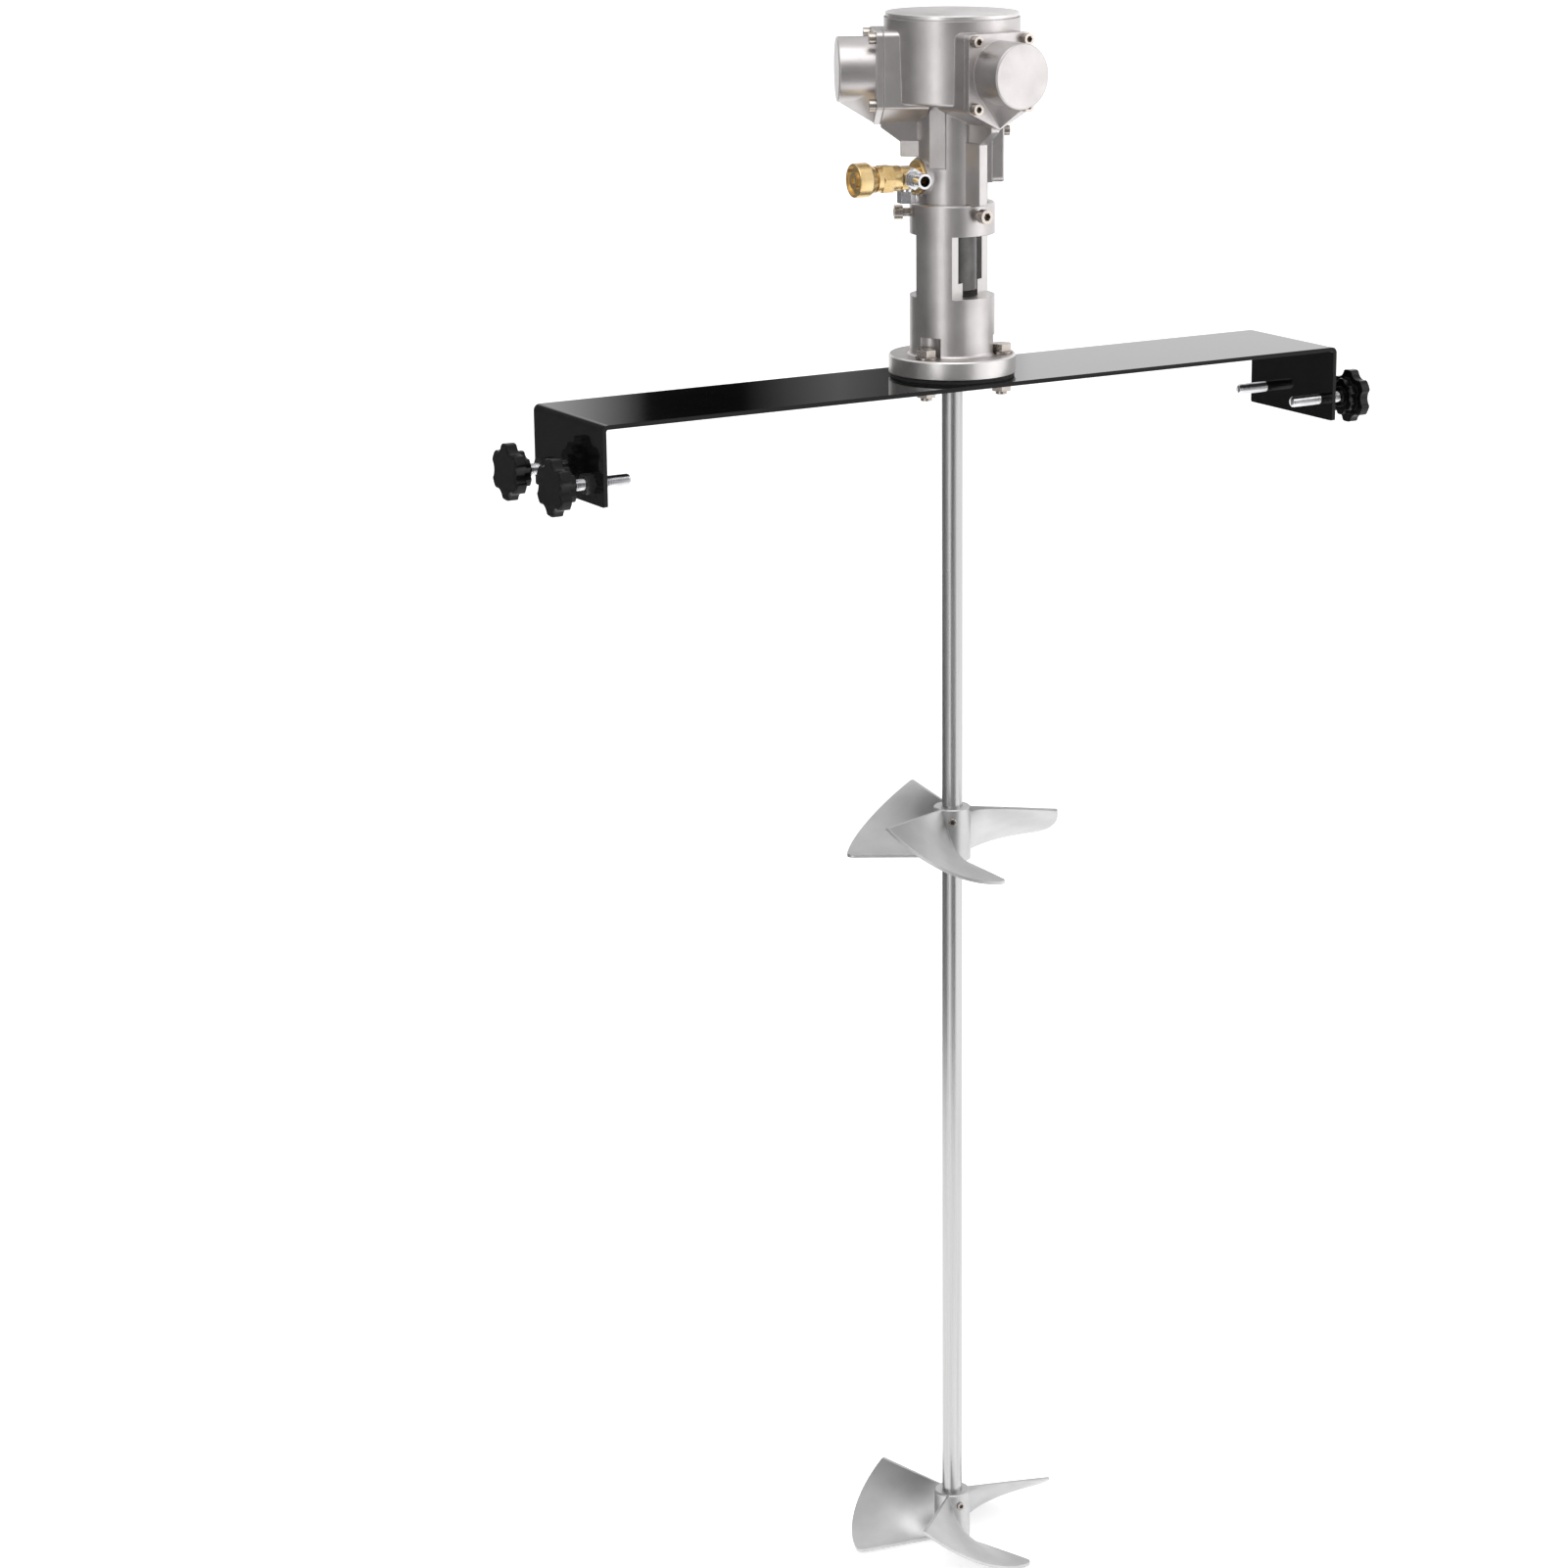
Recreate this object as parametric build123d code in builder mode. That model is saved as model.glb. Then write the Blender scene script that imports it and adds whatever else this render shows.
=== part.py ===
from build123d import *
import os
from math import atan, cos, degrees, pi, radians, sin

os.makedirs("parts", exist_ok=True)

# Drum agitator: a radial piston air motor on a lantern housing, bolted to a clamp-on crossbar,
# drives a long stainless shaft with two three-blade impellers.
# Frame: the origin is on the shaft axis at the underside of the crossbar's plate, X runs along the
# crossbar, +Z is up. All sizes are in millimetres, and angles are in degrees round +Z from +X.

# ---- driving dimensions -------------------------------------------------------------------------
# fits
fit_gap = 0.02          # radial gap of a pressed or bolted fit inside one body
running_gap = 0.05      # radial gap of a running fit
clear_gap = 0.3         # gap between pieces that pass each other

# crossbar and its clamp screws
bar_span = 604.0        # clear distance between the two end flanges
bar_width = 100.0
bar_thick = 3.0
bar_drop = 55.0         # height of the end flanges, plate included
bar_bend = 1.5          # inside bend radius
bar_hole_dia = 24.0     # shaft hole in the plate
clamp_dia = 8.0         # clamp screws, M8
clamp_pitch = 66.0      # distance between the two screws of one flange
clamp_drop = 38.0       # screw axis below the plate's underside
clamp_reach = 25.0      # screw inside the flange
clamp_free = 8.5        # bare screw between weld nut and knob
clamp_nut_across = 13.0
clamp_nut_height = 6.5
knob_dia = 39.0
knob_length = 17.0
knob_rim = 8.0          # thickness of the knob's large lobed rim
knob_hub_dia = 27.0
knob_foot_dia = 15.0
knob_lobes = 6

# lantern housing
gasket_thick = 2.0
flange_dia = 90.0
flange_thick = 13.5
body_dia = 60.0
lantern_height = 120.0  # from the flange's underside to the collar's top
sill_height = 55.0      # window sill above the flange's underside
window_height = 43.5
column_width = 28.6     # slab that the two window columns are cut from
column_angle = 28.9
lantern_bore = 45.0
step_above_sill = 10.0
socket_depth = 17.0     # how far the motor neck sits in the collar
base_bolt_circle = 69.4
base_bolt_count = 3
base_bolt_angle = 85.8
base_bolt_dia = 8.0     # M8
collar_screw_drop = 7.0 # collar screws below the collar's top

# deep-groove ball bearings of the shaft and the crankshaft; their bore follows the shaft
bearing_dia = 35.0
bearing_width = 11.0
ball_dia = 6.0
ball_count = 8
seal_dia = 30.0
seal_width = 7.0

# motor: heights are above the top of the lantern's collar
motor_angle = 33.9      # direction of the first cylinder
cylinder_count = 3
neck_dia = 50.0
neck_bore = 30.0
rib_depth = 11.3        # how far the three passage ribs stand out of the neck
rib_face = 6.8
rib_root = 13.0
rib_rise = 43.0         # top of the straight ribs
strip_width = 12.0      # flat strips between the ribs
strip_depth = 1.0
strip_rise = 25.0
case_dia = 95.0
case_wall = 7.5
case_draft = 1.3
case_floor = 6.0
cylinder_rise = 92.0    # cylinder axes
cover_rise = 35.6       # face under the cover, above the cylinder axes
cover_inset = 1.0
cover_thick = 3.4
cover_groove = 0.8
pod_stand = 2.5         # pod face outside the barrel
pod_side = 4.0          # pod wall beside, above and below the head's drum
pod_cap = 5.0
pod_sole = 2.5
pod_foot = 13.0         # height of the pod's pointed foot
head_flange = 4.5
head_gasket_thick = 0.5
head_length = 30.5      # from the pod face to the drum's end
head_wall = 4.5
head_side_wall = 3.0
head_screw_inset = 5.0  # screw axes inside the flange's sides
head_screw_spread = 0.4
head_screw_dia = 5.0
head_screw_depth = 11.0
liner_bore = 34.0
liner_wall = 2.5
liner_inner = 34.0      # inner end of the liners, from the axis
piston_length = 22.0
piston_clearance = 1.0  # crown to head at top dead centre
crank_throw = 8.0
crank_pin_dia = 16.0
crank_ring_dia = 26.0
crank_web_dia = 50.0
gudgeon_dia = 9.0
rod_width = 9.0
shoe_height = 13.0
shoe_thick = 4.0
shoe_width = 17.0
shoe_parking = 1.3      # the shoes stand this far outside their top dead centre

# air inlet valve and exhaust
valve_rise = 18.5
valve_angle = 175.4
valve_body_dia = 18.0
valve_flange_dia = 24.5
valve_flange_thick = 2.5
seat_depth = 1.5        # faces of the inlet boss and the exhaust pad outside the neck
valve_body_length = 34.5
valve_branch_reach = 9.4    # where the air plug and the blind plug branch off, from the seat
tee_length = 13.8       # square block of the branch, along the valve
tee_across = 15.0
valve_knob_dia = 23.7
valve_knob_length = 15.0
valve_knob_taper = 5.0
valve_knob_rim = 1.6    # rim round the knob's dished face
valve_knob_boss = 11.6  # raised ring in the dish
valve_knob_eye = 5.0
valve_lift = 4.0        # how far the needle opens
valve_stem_dia = 6.0
valve_bore = 8.0
gland_dia = 14.0
gland_length = 1.0
plug_angle = -94.6
plug_length = 20.4      # the air plug outside the tee
plug_dia = 10.6
plug_bore = 7.4
plug_across = 13.0
blind_across = 11.5
blind_collar_dia = 9.2
valve_hexagon_set = 12.0    # hexagon on the valve body, from its outer end
valve_hexagon_length = 8.0
exhaust_angle = -26.1
exhaust_width = 30.0
exhaust_height = 40.5
exhaust_depth = 8.5
exhaust_rise = 14.5
exhaust_port_rise = 33.0
exhaust_wall = 2.0
port_dia = 9.0
boss_dia = 27.0         # inlet boss on the neck

# shaft, coupling and impellers
shaft_dia = 15.0
shaft_bottom = -899.0
shaft_insert = 24.8     # shaft inside the coupling
coupling_dia = 34.5
coupling_low_gap = 3.2  # above the window sill
coupling_top_gap = 1.8  # below the motor's neck
impeller_dia = 154.0
hub_dia = 27.0
hub_height = 40.0
shaft_stub = 1.7        # shaft end below the lower hub
impeller_spacing = 543.3
upper_blade_angle = -40.6   # leading edge of the first blade
lower_blade_angle = -19.1
blade_count = 3
blade_sweep = 69.0
blade_thick = 2.4
blade_corner = 5.0
hub_screw_angle = 44.0      # set screw, from a leading edge
hub_screw_drop = 10.0
grub_dia = 6.0

# ---- derived places -----------------------------------------------------------------------------
bar_top = bar_thick
gasket_top = bar_top + gasket_thick
flange_top = gasket_top + flange_thick
sill = gasket_top + sill_height
collar_top = gasket_top + lantern_height
neck_bottom = collar_top - socket_depth
bearing_bore = shaft_dia
step_bore = bearing_dia + 1.0
clamp_places = [(side, end) for end in (-1, 1) for side in (-1, 1)]
cylinder_angles = [motor_angle + 360 / cylinder_count * i for i in range(cylinder_count)]
clamp_names = ["left_front", "left_back", "right_front", "right_back"]
seal_bottom = gasket_top + 1.0
bearing_floor = seal_bottom + seal_width + 8.0
bearing_spacer = 11.0
upper_bearing = bearing_floor + bearing_width + bearing_spacer
circlip_width = 1.2
circlip_floor = upper_bearing + bearing_width + fit_gap
liner_dia = liner_bore + 2 * liner_wall
head_dia = liner_dia + 2 * head_side_wall
pod_width = head_dia + 2 * pod_side
cylinder_height = collar_top + cylinder_rise
pod_top = cylinder_height + head_dia / 2 + pod_cap
pod_low = cylinder_height - head_dia / 2 - pod_sole
pod_point = pod_low - pod_foot
case_bottom = cylinder_height - head_dia / 2
case_top = cylinder_height + cover_rise
case_bore = case_dia - 2 * case_wall
cover_dia = case_dia - 2 * cover_inset
pod_face = case_dia / 2 + pod_stand
head_reach = pod_face + head_length
head_screw_across = pod_width - 2 * head_screw_inset
head_screw_high = head_dia + head_screw_spread
strip_bottom = collar_top + strip_rise
strip_reach = neck_dia / 2 + strip_depth
rib_top = collar_top + rib_rise
rib_reach = neck_dia / 2 + rib_depth
valve_height = collar_top + valve_rise
valve_seat_reach = neck_dia / 2 + seat_depth
valve_branch = valve_seat_reach + valve_branch_reach
valve_body_end = valve_seat_reach + valve_body_length
plug_reach = tee_across / 2 + plug_length
exhaust_seat = neck_dia / 2 + seat_depth
exhaust_reach = exhaust_seat + exhaust_depth
exhaust_bottom = collar_top + exhaust_rise
exhaust_top = exhaust_bottom + exhaust_height
exhaust_port_height = collar_top + exhaust_port_rise
coupling_bottom = sill + coupling_low_gap
coupling_length = neck_bottom - coupling_top_gap - coupling_bottom
shaft_top = coupling_bottom + shaft_insert
lower_hub_top = shaft_bottom + shaft_stub + hub_height
upper_hub_top = lower_hub_top + impeller_spacing
crank_seal_bottom = neck_bottom + 2.0
crank_bearing_low = crank_seal_bottom + seal_width + 2.0
crank_bearing_high = case_bottom + case_floor - 4.0 - bearing_width
web_bottom = case_bottom + case_floor + 1.5
web_thick = 6.5
pin_top = cylinder_height + shoe_height / 2 + 2.0


def facing(angle, reach=0.0, height=0.0):
    """Plane that looks outward at an angle round the shaft axis, with its Y direction up."""
    turn = radians(angle)
    outward = Vector(cos(turn), sin(turn), 0)
    place = outward * reach + Vector(0, 0, height)
    return Plane(origin=place, x_dir=(-sin(turn), cos(turn), 0), z_dir=outward)


def radial_section(angle):
    """Plane that holds the shaft axis: X runs outward at the angle and Y runs up."""
    turn = radians(angle)
    return Plane(origin=(0, 0, 0), x_dir=(cos(turn), sin(turn), 0), z_dir=(sin(turn), -cos(turn), 0))


def upright(reach, angle, height):
    """Level plane at a distance and an angle from the shaft axis."""
    turn = radians(angle)
    return Plane(origin=(reach * cos(turn), reach * sin(turn), height))


def ring(inner_dia, outer_dia, bottom, height, edge=0.0):
    """Plain ring or disc round the shaft axis, with an optional chamfer on its outer rims."""
    with BuildPart() as turned:
        with BuildSketch(Plane.XY.offset(bottom)):
            Circle(outer_dia / 2)
            if inner_dia > 0:
                Circle(inner_dia / 2, mode=Mode.SUBTRACT)
        extrude(amount=height)
        if edge > 0:
            rims = turned.edges().filter_by(GeomType.CIRCLE)
            chamfer(rims.filter_by(lambda rim: rim.radius > outer_dia / 2 - 0.01), edge)
    return turned.part


def cap_screw(plane, shank_dia, shank_length, head_dia, head_height, socket_across):
    """Hexagon-socket cap screw: its head stands on the plane and the shank goes down into it."""
    with BuildPart() as screw:
        with BuildSketch(plane):
            Circle(shank_dia / 2)
        extrude(amount=-shank_length)
        with BuildSketch(plane):
            Circle(head_dia / 2)
        extrude(amount=head_height)
        with BuildSketch(plane.offset(head_height)):
            RegularPolygon(socket_across / 2, 6, major_radius=False)
        extrude(amount=-head_height * 0.6, mode=Mode.SUBTRACT)
    return screw.part



def hexagon(plane, across, height, bore_dia=0.0):
    """Hexagon prism on a plane, with an optional round bore."""
    with BuildPart() as prism:
        with BuildSketch(plane):
            RegularPolygon(across / 2, 6, major_radius=False)
            if bore_dia > 0:
                Circle(bore_dia / 2, mode=Mode.SUBTRACT)
        extrude(amount=height)
    return prism.part


# ---- crossbar -----------------------------------------------------------------------------------
# One strip of sheet steel, folded down at both ends.
with BuildPart() as crossbar:
    with BuildSketch(Plane.XZ) as strip:
        with Locations((0, bar_top - bar_drop / 2)):
            Rectangle(bar_span + 2 * bar_thick, bar_drop)
        with Locations((0, (bar_top - bar_drop) / 2)):
            Rectangle(bar_span, bar_drop - bar_thick, mode=Mode.SUBTRACT)
        fillet(strip.vertices().group_by(Axis.Y)[-1], bar_bend + bar_thick)
        fillet(strip.vertices().filter_by(lambda corner: abs(corner.Y) < 0.01), bar_bend)
    extrude(amount=bar_width / 2, both=True)
    fillet(crossbar.edges().filter_by(Axis.X).group_by(Axis.Z)[0], bar_bend)
    with BuildSketch(Plane.XY):
        Circle(bar_hole_dia / 2)
        with PolarLocations(base_bolt_circle / 2, base_bolt_count, base_bolt_angle):
            Circle(base_bolt_dia / 2 + clear_gap)
    extrude(amount=bar_thick, mode=Mode.SUBTRACT)
    with BuildSketch(Plane.YZ):
        with Locations([(side * clamp_pitch / 2, -clamp_drop) for side in (-1, 1)]):
            Circle(clamp_dia / 2 + clear_gap)
    extrude(amount=bar_span, both=True, mode=Mode.SUBTRACT)
crossbar.part.label = "crossbar"
export_step(crossbar.part, "parts/crossbar.step")

# Four hexagon nuts welded to the outside of the end flanges carry the clamp screws.
flange_outside = bar_span / 2 + bar_thick
with BuildPart() as clamp_weld_nuts:
    for end in (-1, 1):
        with BuildSketch(Plane.YZ.offset(end * flange_outside)):
            with Locations([(side * clamp_pitch / 2, -clamp_drop) for side in (-1, 1)]):
                RegularPolygon(clamp_nut_across / 2, 6, major_radius=False)
                Circle(clamp_dia / 2 + running_gap, mode=Mode.SUBTRACT)
        extrude(amount=end * clamp_nut_height)
clamp_weld_nuts.part.label = "clamp_weld_nuts"
export_step(clamp_weld_nuts.part, "parts/clamp_weld_nuts.step")

# ---- clamp screws and knobs ---------------------------------------------------------------------
# Each screw runs through its weld nut, with a plain rounded tip inside and a lobed knob outside.
clamp_knob_start = flange_outside + clamp_nut_height + clamp_free
clamp_screw_end = clamp_knob_start + knob_length - 3
clamp_screw_length = clamp_screw_end - bar_span / 2 + clamp_reach


def lobed(outer_dia, lobes, depth):
    """Star outline: a circle with one scallop between every two lobes."""
    with BuildSketch() as outline:
        Circle(outer_dia / 2)
        scallop = outer_dia * 0.19
        with PolarLocations(outer_dia / 2 + scallop - depth, lobes):
            Circle(scallop, mode=Mode.SUBTRACT)
        fillet(outline.vertices(), outer_dia * 0.06)
    return outline.sketch


for name, (side, end) in zip(clamp_names, clamp_places):
    screw_axis = Plane(
        origin=(end * (bar_span / 2 - clamp_reach), side * clamp_pitch / 2, -clamp_drop),
        x_dir=(0, 1, 0),
        z_dir=(end, 0, 0),
    )
    with BuildPart() as clamp_screw:
        with BuildSketch(screw_axis):
            Circle(clamp_dia / 2)
        extrude(amount=clamp_screw_length)
        chamfer(clamp_screw.edges().filter_by(GeomType.CIRCLE), clamp_dia * 0.1)
    clamp_screw.part.label = f"clamp_screw_{name}"
    export_step(clamp_screw.part, f"parts/clamp_screw_{name}.step")

    foot = screw_axis.offset(clamp_knob_start - bar_span / 2 + clamp_reach)
    hub_length = knob_length - knob_rim
    with BuildPart() as clamp_knob:
        with BuildSketch(foot):
            Circle(knob_foot_dia / 2)
        extrude(amount=hub_length)
        with BuildSketch(foot.offset(hub_length * 0.3)):
            add(lobed(knob_hub_dia, knob_lobes, knob_hub_dia * 0.08))
        extrude(amount=hub_length * 0.7)
        with BuildSketch(foot.offset(hub_length)):
            add(lobed(knob_dia, knob_lobes, knob_dia * 0.09))
        extrude(amount=knob_rim)
        crown = clamp_knob.faces().sort_by(Axis.X)[-1 if end > 0 else 0]
        chamfer(crown.outer_wire().edges(), 1.2)
        with BuildSketch(foot):
            Circle(clamp_dia / 2 + running_gap)
        extrude(amount=knob_length - 3 + clear_gap, mode=Mode.SUBTRACT)
    clamp_knob.part.label = f"clamp_knob_{name}"
    export_step(clamp_knob.part, f"parts/clamp_knob_{name}.step")

# ---- lantern housing ----------------------------------------------------------------------------
base_gasket_part = ring(bar_hole_dia, flange_dia - 2, bar_top, gasket_thick)
with BuildPart() as base_gasket:
    add(base_gasket_part)
    with BuildSketch(Plane.XY.offset(bar_top)):
        with PolarLocations(base_bolt_circle / 2, base_bolt_count, base_bolt_angle):
            Circle(base_bolt_dia / 2 + clear_gap)
    extrude(amount=gasket_thick, mode=Mode.SUBTRACT)
base_gasket.part.label = "base_gasket"
export_step(base_gasket.part, "parts/base_gasket.step")

# Cast housing: base flange, bearing housing, two columns beside two windows, and the top collar.
bolt_pocket_dia = 20.0
bolt_pocket_height = 14.0
collar_chamfer = 0.8
with BuildPart() as lantern:
    with BuildSketch(Plane.XZ) as wall:
        with BuildLine():
            Polyline(
                (seal_dia / 2, gasket_top),
                (flange_dia / 2, gasket_top),
                (flange_dia / 2, flange_top),
                (body_dia / 2, flange_top),
                (body_dia / 2, collar_top),
                (neck_dia / 2 + fit_gap, collar_top),
                (neck_dia / 2 + fit_gap, neck_bottom),
                (lantern_bore / 2, neck_bottom),
                (lantern_bore / 2, sill + step_above_sill),
                (step_bore / 2, sill + step_above_sill),
                (step_bore / 2, circlip_floor + circlip_width + 1),
                (bearing_dia / 2 + fit_gap, circlip_floor + circlip_width + 1),
                (bearing_dia / 2 + fit_gap, bearing_floor),
                (shaft_dia / 2 + 2.5, bearing_floor),
                (shaft_dia / 2 + 2.5, seal_bottom + seal_width),
                (seal_dia / 2, seal_bottom + seal_width),
                close=True,
            )
        make_face()
        chamfer(wall.vertices().filter_by(lambda corner: corner.X > flange_dia / 2 - 0.01), 1.0)
        chamfer(wall.vertices().filter_by(lambda corner: corner.Y > collar_top - 0.01), collar_chamfer)
        fillet(
            wall.vertices().filter_by(
                lambda corner: abs(corner.X - body_dia / 2) < 0.01 and abs(corner.Y - flange_top) < 0.01
            ),
            2.5,
        )
    revolve(axis=Axis.Z)
    # windows: the wall outside the slab of the two columns is cut away
    window_cut = (body_dia - column_width) / 2
    with BuildSketch(Plane.XY.offset(sill).rotated((0, 0, column_angle))):
        with Locations([(0, side * (column_width + window_cut) / 2) for side in (-1, 1)]):
            Rectangle(body_dia, window_cut)
    extrude(amount=window_height, mode=Mode.SUBTRACT)
    # bolt holes, with a spot-faced pocket that bites a little into the housing wall
    with BuildSketch(Plane.XY.offset(gasket_top)):
        with PolarLocations(base_bolt_circle / 2, base_bolt_count, base_bolt_angle):
            Circle(base_bolt_dia / 2 + clear_gap)
    extrude(amount=flange_thick, mode=Mode.SUBTRACT)
    with BuildSketch(Plane.XY.offset(flange_top)):
        with PolarLocations(base_bolt_circle / 2, base_bolt_count, base_bolt_angle):
            Circle(bolt_pocket_dia / 2)
    extrude(amount=bolt_pocket_height, mode=Mode.SUBTRACT)
    # threaded holes of the collar screws
    for angle in cylinder_angles:
        with BuildSketch(facing(angle, neck_dia / 2 - 1, collar_top - collar_screw_drop)):
            Circle(6 / 2 + fit_gap)
        extrude(amount=(body_dia - neck_dia) / 2 + 2, mode=Mode.SUBTRACT)
lantern.part.label = "lantern"
export_step(lantern.part, "parts/lantern.step")

# Hexagon bolts through flange, gasket and crossbar, with washers above and nuts below.
washer_thick = 1.6
bolt_head_height = 5.3
bolt_across = 13.0
nut_height = 6.5
bolt_end = -washer_thick - nut_height - 2.5
bolt_step = 360 / base_bolt_count
with BuildPart() as base_bolts:
    for number in range(base_bolt_count):
        head_seat = upright(base_bolt_circle / 2, base_bolt_angle + bolt_step * number, flange_top + washer_thick)
        add(hexagon(head_seat, bolt_across, bolt_head_height))
        with BuildSketch(head_seat):
            Circle(base_bolt_dia / 2)
        extrude(amount=bolt_end - flange_top - washer_thick)
base_bolts.part.label = "base_bolts"
export_step(base_bolts.part, "parts/base_bolts.step")

with BuildPart() as base_washers:
    for height in (flange_top, -washer_thick):
        with BuildSketch(Plane.XY.offset(height)):
            with PolarLocations(base_bolt_circle / 2, base_bolt_count, base_bolt_angle):
                Circle(base_bolt_dia)
                Circle(base_bolt_dia / 2 + running_gap, mode=Mode.SUBTRACT)
        extrude(amount=washer_thick)
base_washers.part.label = "base_washers"
export_step(base_washers.part, "parts/base_washers.step")

with BuildPart() as base_nuts:
    for number in range(base_bolt_count):
        nut_seat = upright(base_bolt_circle / 2, base_bolt_angle + bolt_step * number, -washer_thick)
        add(hexagon(nut_seat, bolt_across, -nut_height, base_bolt_dia + 2 * fit_gap))
base_nuts.part.label = "base_nuts"
export_step(base_nuts.part, "parts/base_nuts.step")

# Socket screws that clamp the motor's neck in the collar: their tips bear on the neck.
collar_screw_stand = 5.0
with BuildPart() as collar_screws:
    for angle in cylinder_angles:
        head_seat = facing(angle, body_dia / 2 + collar_screw_stand, collar_top - collar_screw_drop)
        shank = body_dia / 2 + collar_screw_stand - neck_dia / 2 - fit_gap
        add(cap_screw(head_seat, 6, shank, 10, 6, 5))
collar_screws.part.label = "collar_screws"
export_step(collar_screws.part, "parts/collar_screws.step")


# ---- bearings and seals -------------------------------------------------------------------------
def bearing_ring(bottoms, inner_dia, outer_dia):
    """Bearing rings at the given heights, each with a round raceway groove for its balls."""
    pitch_radius = (bearing_bore + bearing_dia) / 4
    with BuildPart() as rings:
        with BuildSketch(Plane.XZ):
            with Locations([((inner_dia + outer_dia) / 4, low + bearing_width / 2) for low in bottoms]):
                Rectangle((outer_dia - inner_dia) / 2, bearing_width)
            with Locations([(pitch_radius, low + bearing_width / 2) for low in bottoms]):
                Circle(ball_dia / 2 + running_gap, mode=Mode.SUBTRACT)
        revolve(axis=Axis.Z)
    return rings.part


shaft_bearings = [bearing_floor, upper_bearing]
crank_bearings = [crank_bearing_low, crank_bearing_high]
outer_ring_bore = (bearing_bore + bearing_dia) / 2 + ball_dia * 0.72
inner_ring_dia = (bearing_bore + bearing_dia) / 2 - ball_dia * 0.72
ring_sets = {
    "shaft_bearing_outer_rings": (shaft_bearings, outer_ring_bore, bearing_dia),
    "shaft_bearing_inner_rings": (shaft_bearings, bearing_bore + 2 * fit_gap, inner_ring_dia),
    "crank_bearing_outer_rings": (crank_bearings, outer_ring_bore, bearing_dia),
    "crank_bearing_inner_rings": (crank_bearings, bearing_bore + 2 * fit_gap, inner_ring_dia),
}
for name, (bottoms, inner_dia, outer_dia) in ring_sets.items():
    bearing_rings = bearing_ring(bottoms, inner_dia, outer_dia)
    bearing_rings.label = name
    export_step(bearing_rings, f"parts/{name}.step")

with BuildPart() as bearing_balls:
    for low in shaft_bearings + crank_bearings:
        with Locations((0, 0, low + bearing_width / 2)):
            with PolarLocations((bearing_bore + bearing_dia) / 4, ball_count):
                Sphere(ball_dia / 2)
bearing_balls.part.label = "bearing_balls"
export_step(bearing_balls.part, "parts/bearing_balls.step")

# Sleeve that keeps the two outer rings apart, and the spring ring that holds them down.
with BuildPart() as bearing_spacer_ring:
    add(ring(outer_ring_bore, bearing_dia, bearing_floor + bearing_width, bearing_spacer))
bearing_spacer_ring.part.label = "bearing_spacer"
export_step(bearing_spacer_ring.part, "parts/bearing_spacer.step")

with BuildPart() as retaining_ring:
    with BuildSketch(Plane.XY.offset(circlip_floor)):
        Circle(bearing_dia / 2)
        Circle(bearing_dia / 2 - 3, mode=Mode.SUBTRACT)
        with Locations((bearing_dia / 2 - 1.5, 0)):
            Rectangle(8, 6, mode=Mode.SUBTRACT)
    extrude(amount=circlip_width)
retaining_ring.part.label = "retaining_ring"
export_step(retaining_ring.part, "parts/retaining_ring.step")


def lip_seal(outer_dia, bottom):
    """Shaft seal: a stiff outer case and a lip that narrows down to the shaft."""
    lip_radius = shaft_dia / 2 + running_gap
    with BuildPart() as seal:
        with BuildSketch(Plane.XZ):
            with BuildLine():
                Polyline(
                    (outer_dia / 2, bottom),
                    (outer_dia / 2, bottom + seal_width),
                    (outer_dia / 2 - 2, bottom + seal_width),
                    (outer_dia / 2 - 2, bottom + 2),
                    (lip_radius + 3, bottom + 2),
                    (lip_radius + 1, bottom + seal_width - 1),
                    (lip_radius, bottom + seal_width - 2),
                    (lip_radius + 1, bottom),
                    close=True,
                )
            make_face()
        revolve(axis=Axis.Z)
    return seal.part


for name, outer_dia, low in (
    ("shaft_seal", seal_dia - 2 * fit_gap, seal_bottom),
    ("crank_seal", bearing_dia, crank_seal_bottom),
):
    seal_ring = lip_seal(outer_dia, low)
    seal_ring.label = name
    export_step(seal_ring, f"parts/{name}.step")


# ---- crankcase ----------------------------------------------------------------------------------
def pod_outline(grow=0.0):
    """Outline of a cylinder pod and of its head flange: flat sides, rounded top and a pointed foot."""
    half = pod_width / 2 + grow
    low = pod_low - cylinder_height - grow
    point = pod_point - cylinder_height - grow
    high = pod_top - cylinder_height + grow
    with BuildSketch() as outline:
        with BuildLine():
            Polyline((-half, low), (0, point), (half, low), (half, high), (-half, high), close=True)
        make_face()
        fillet(outline.vertices().group_by(Axis.Y)[-1], 4)
        fillet(outline.vertices().filter_by(lambda corner: abs(corner.Y - low) < 0.01), 3)
    return outline.sketch


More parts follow.
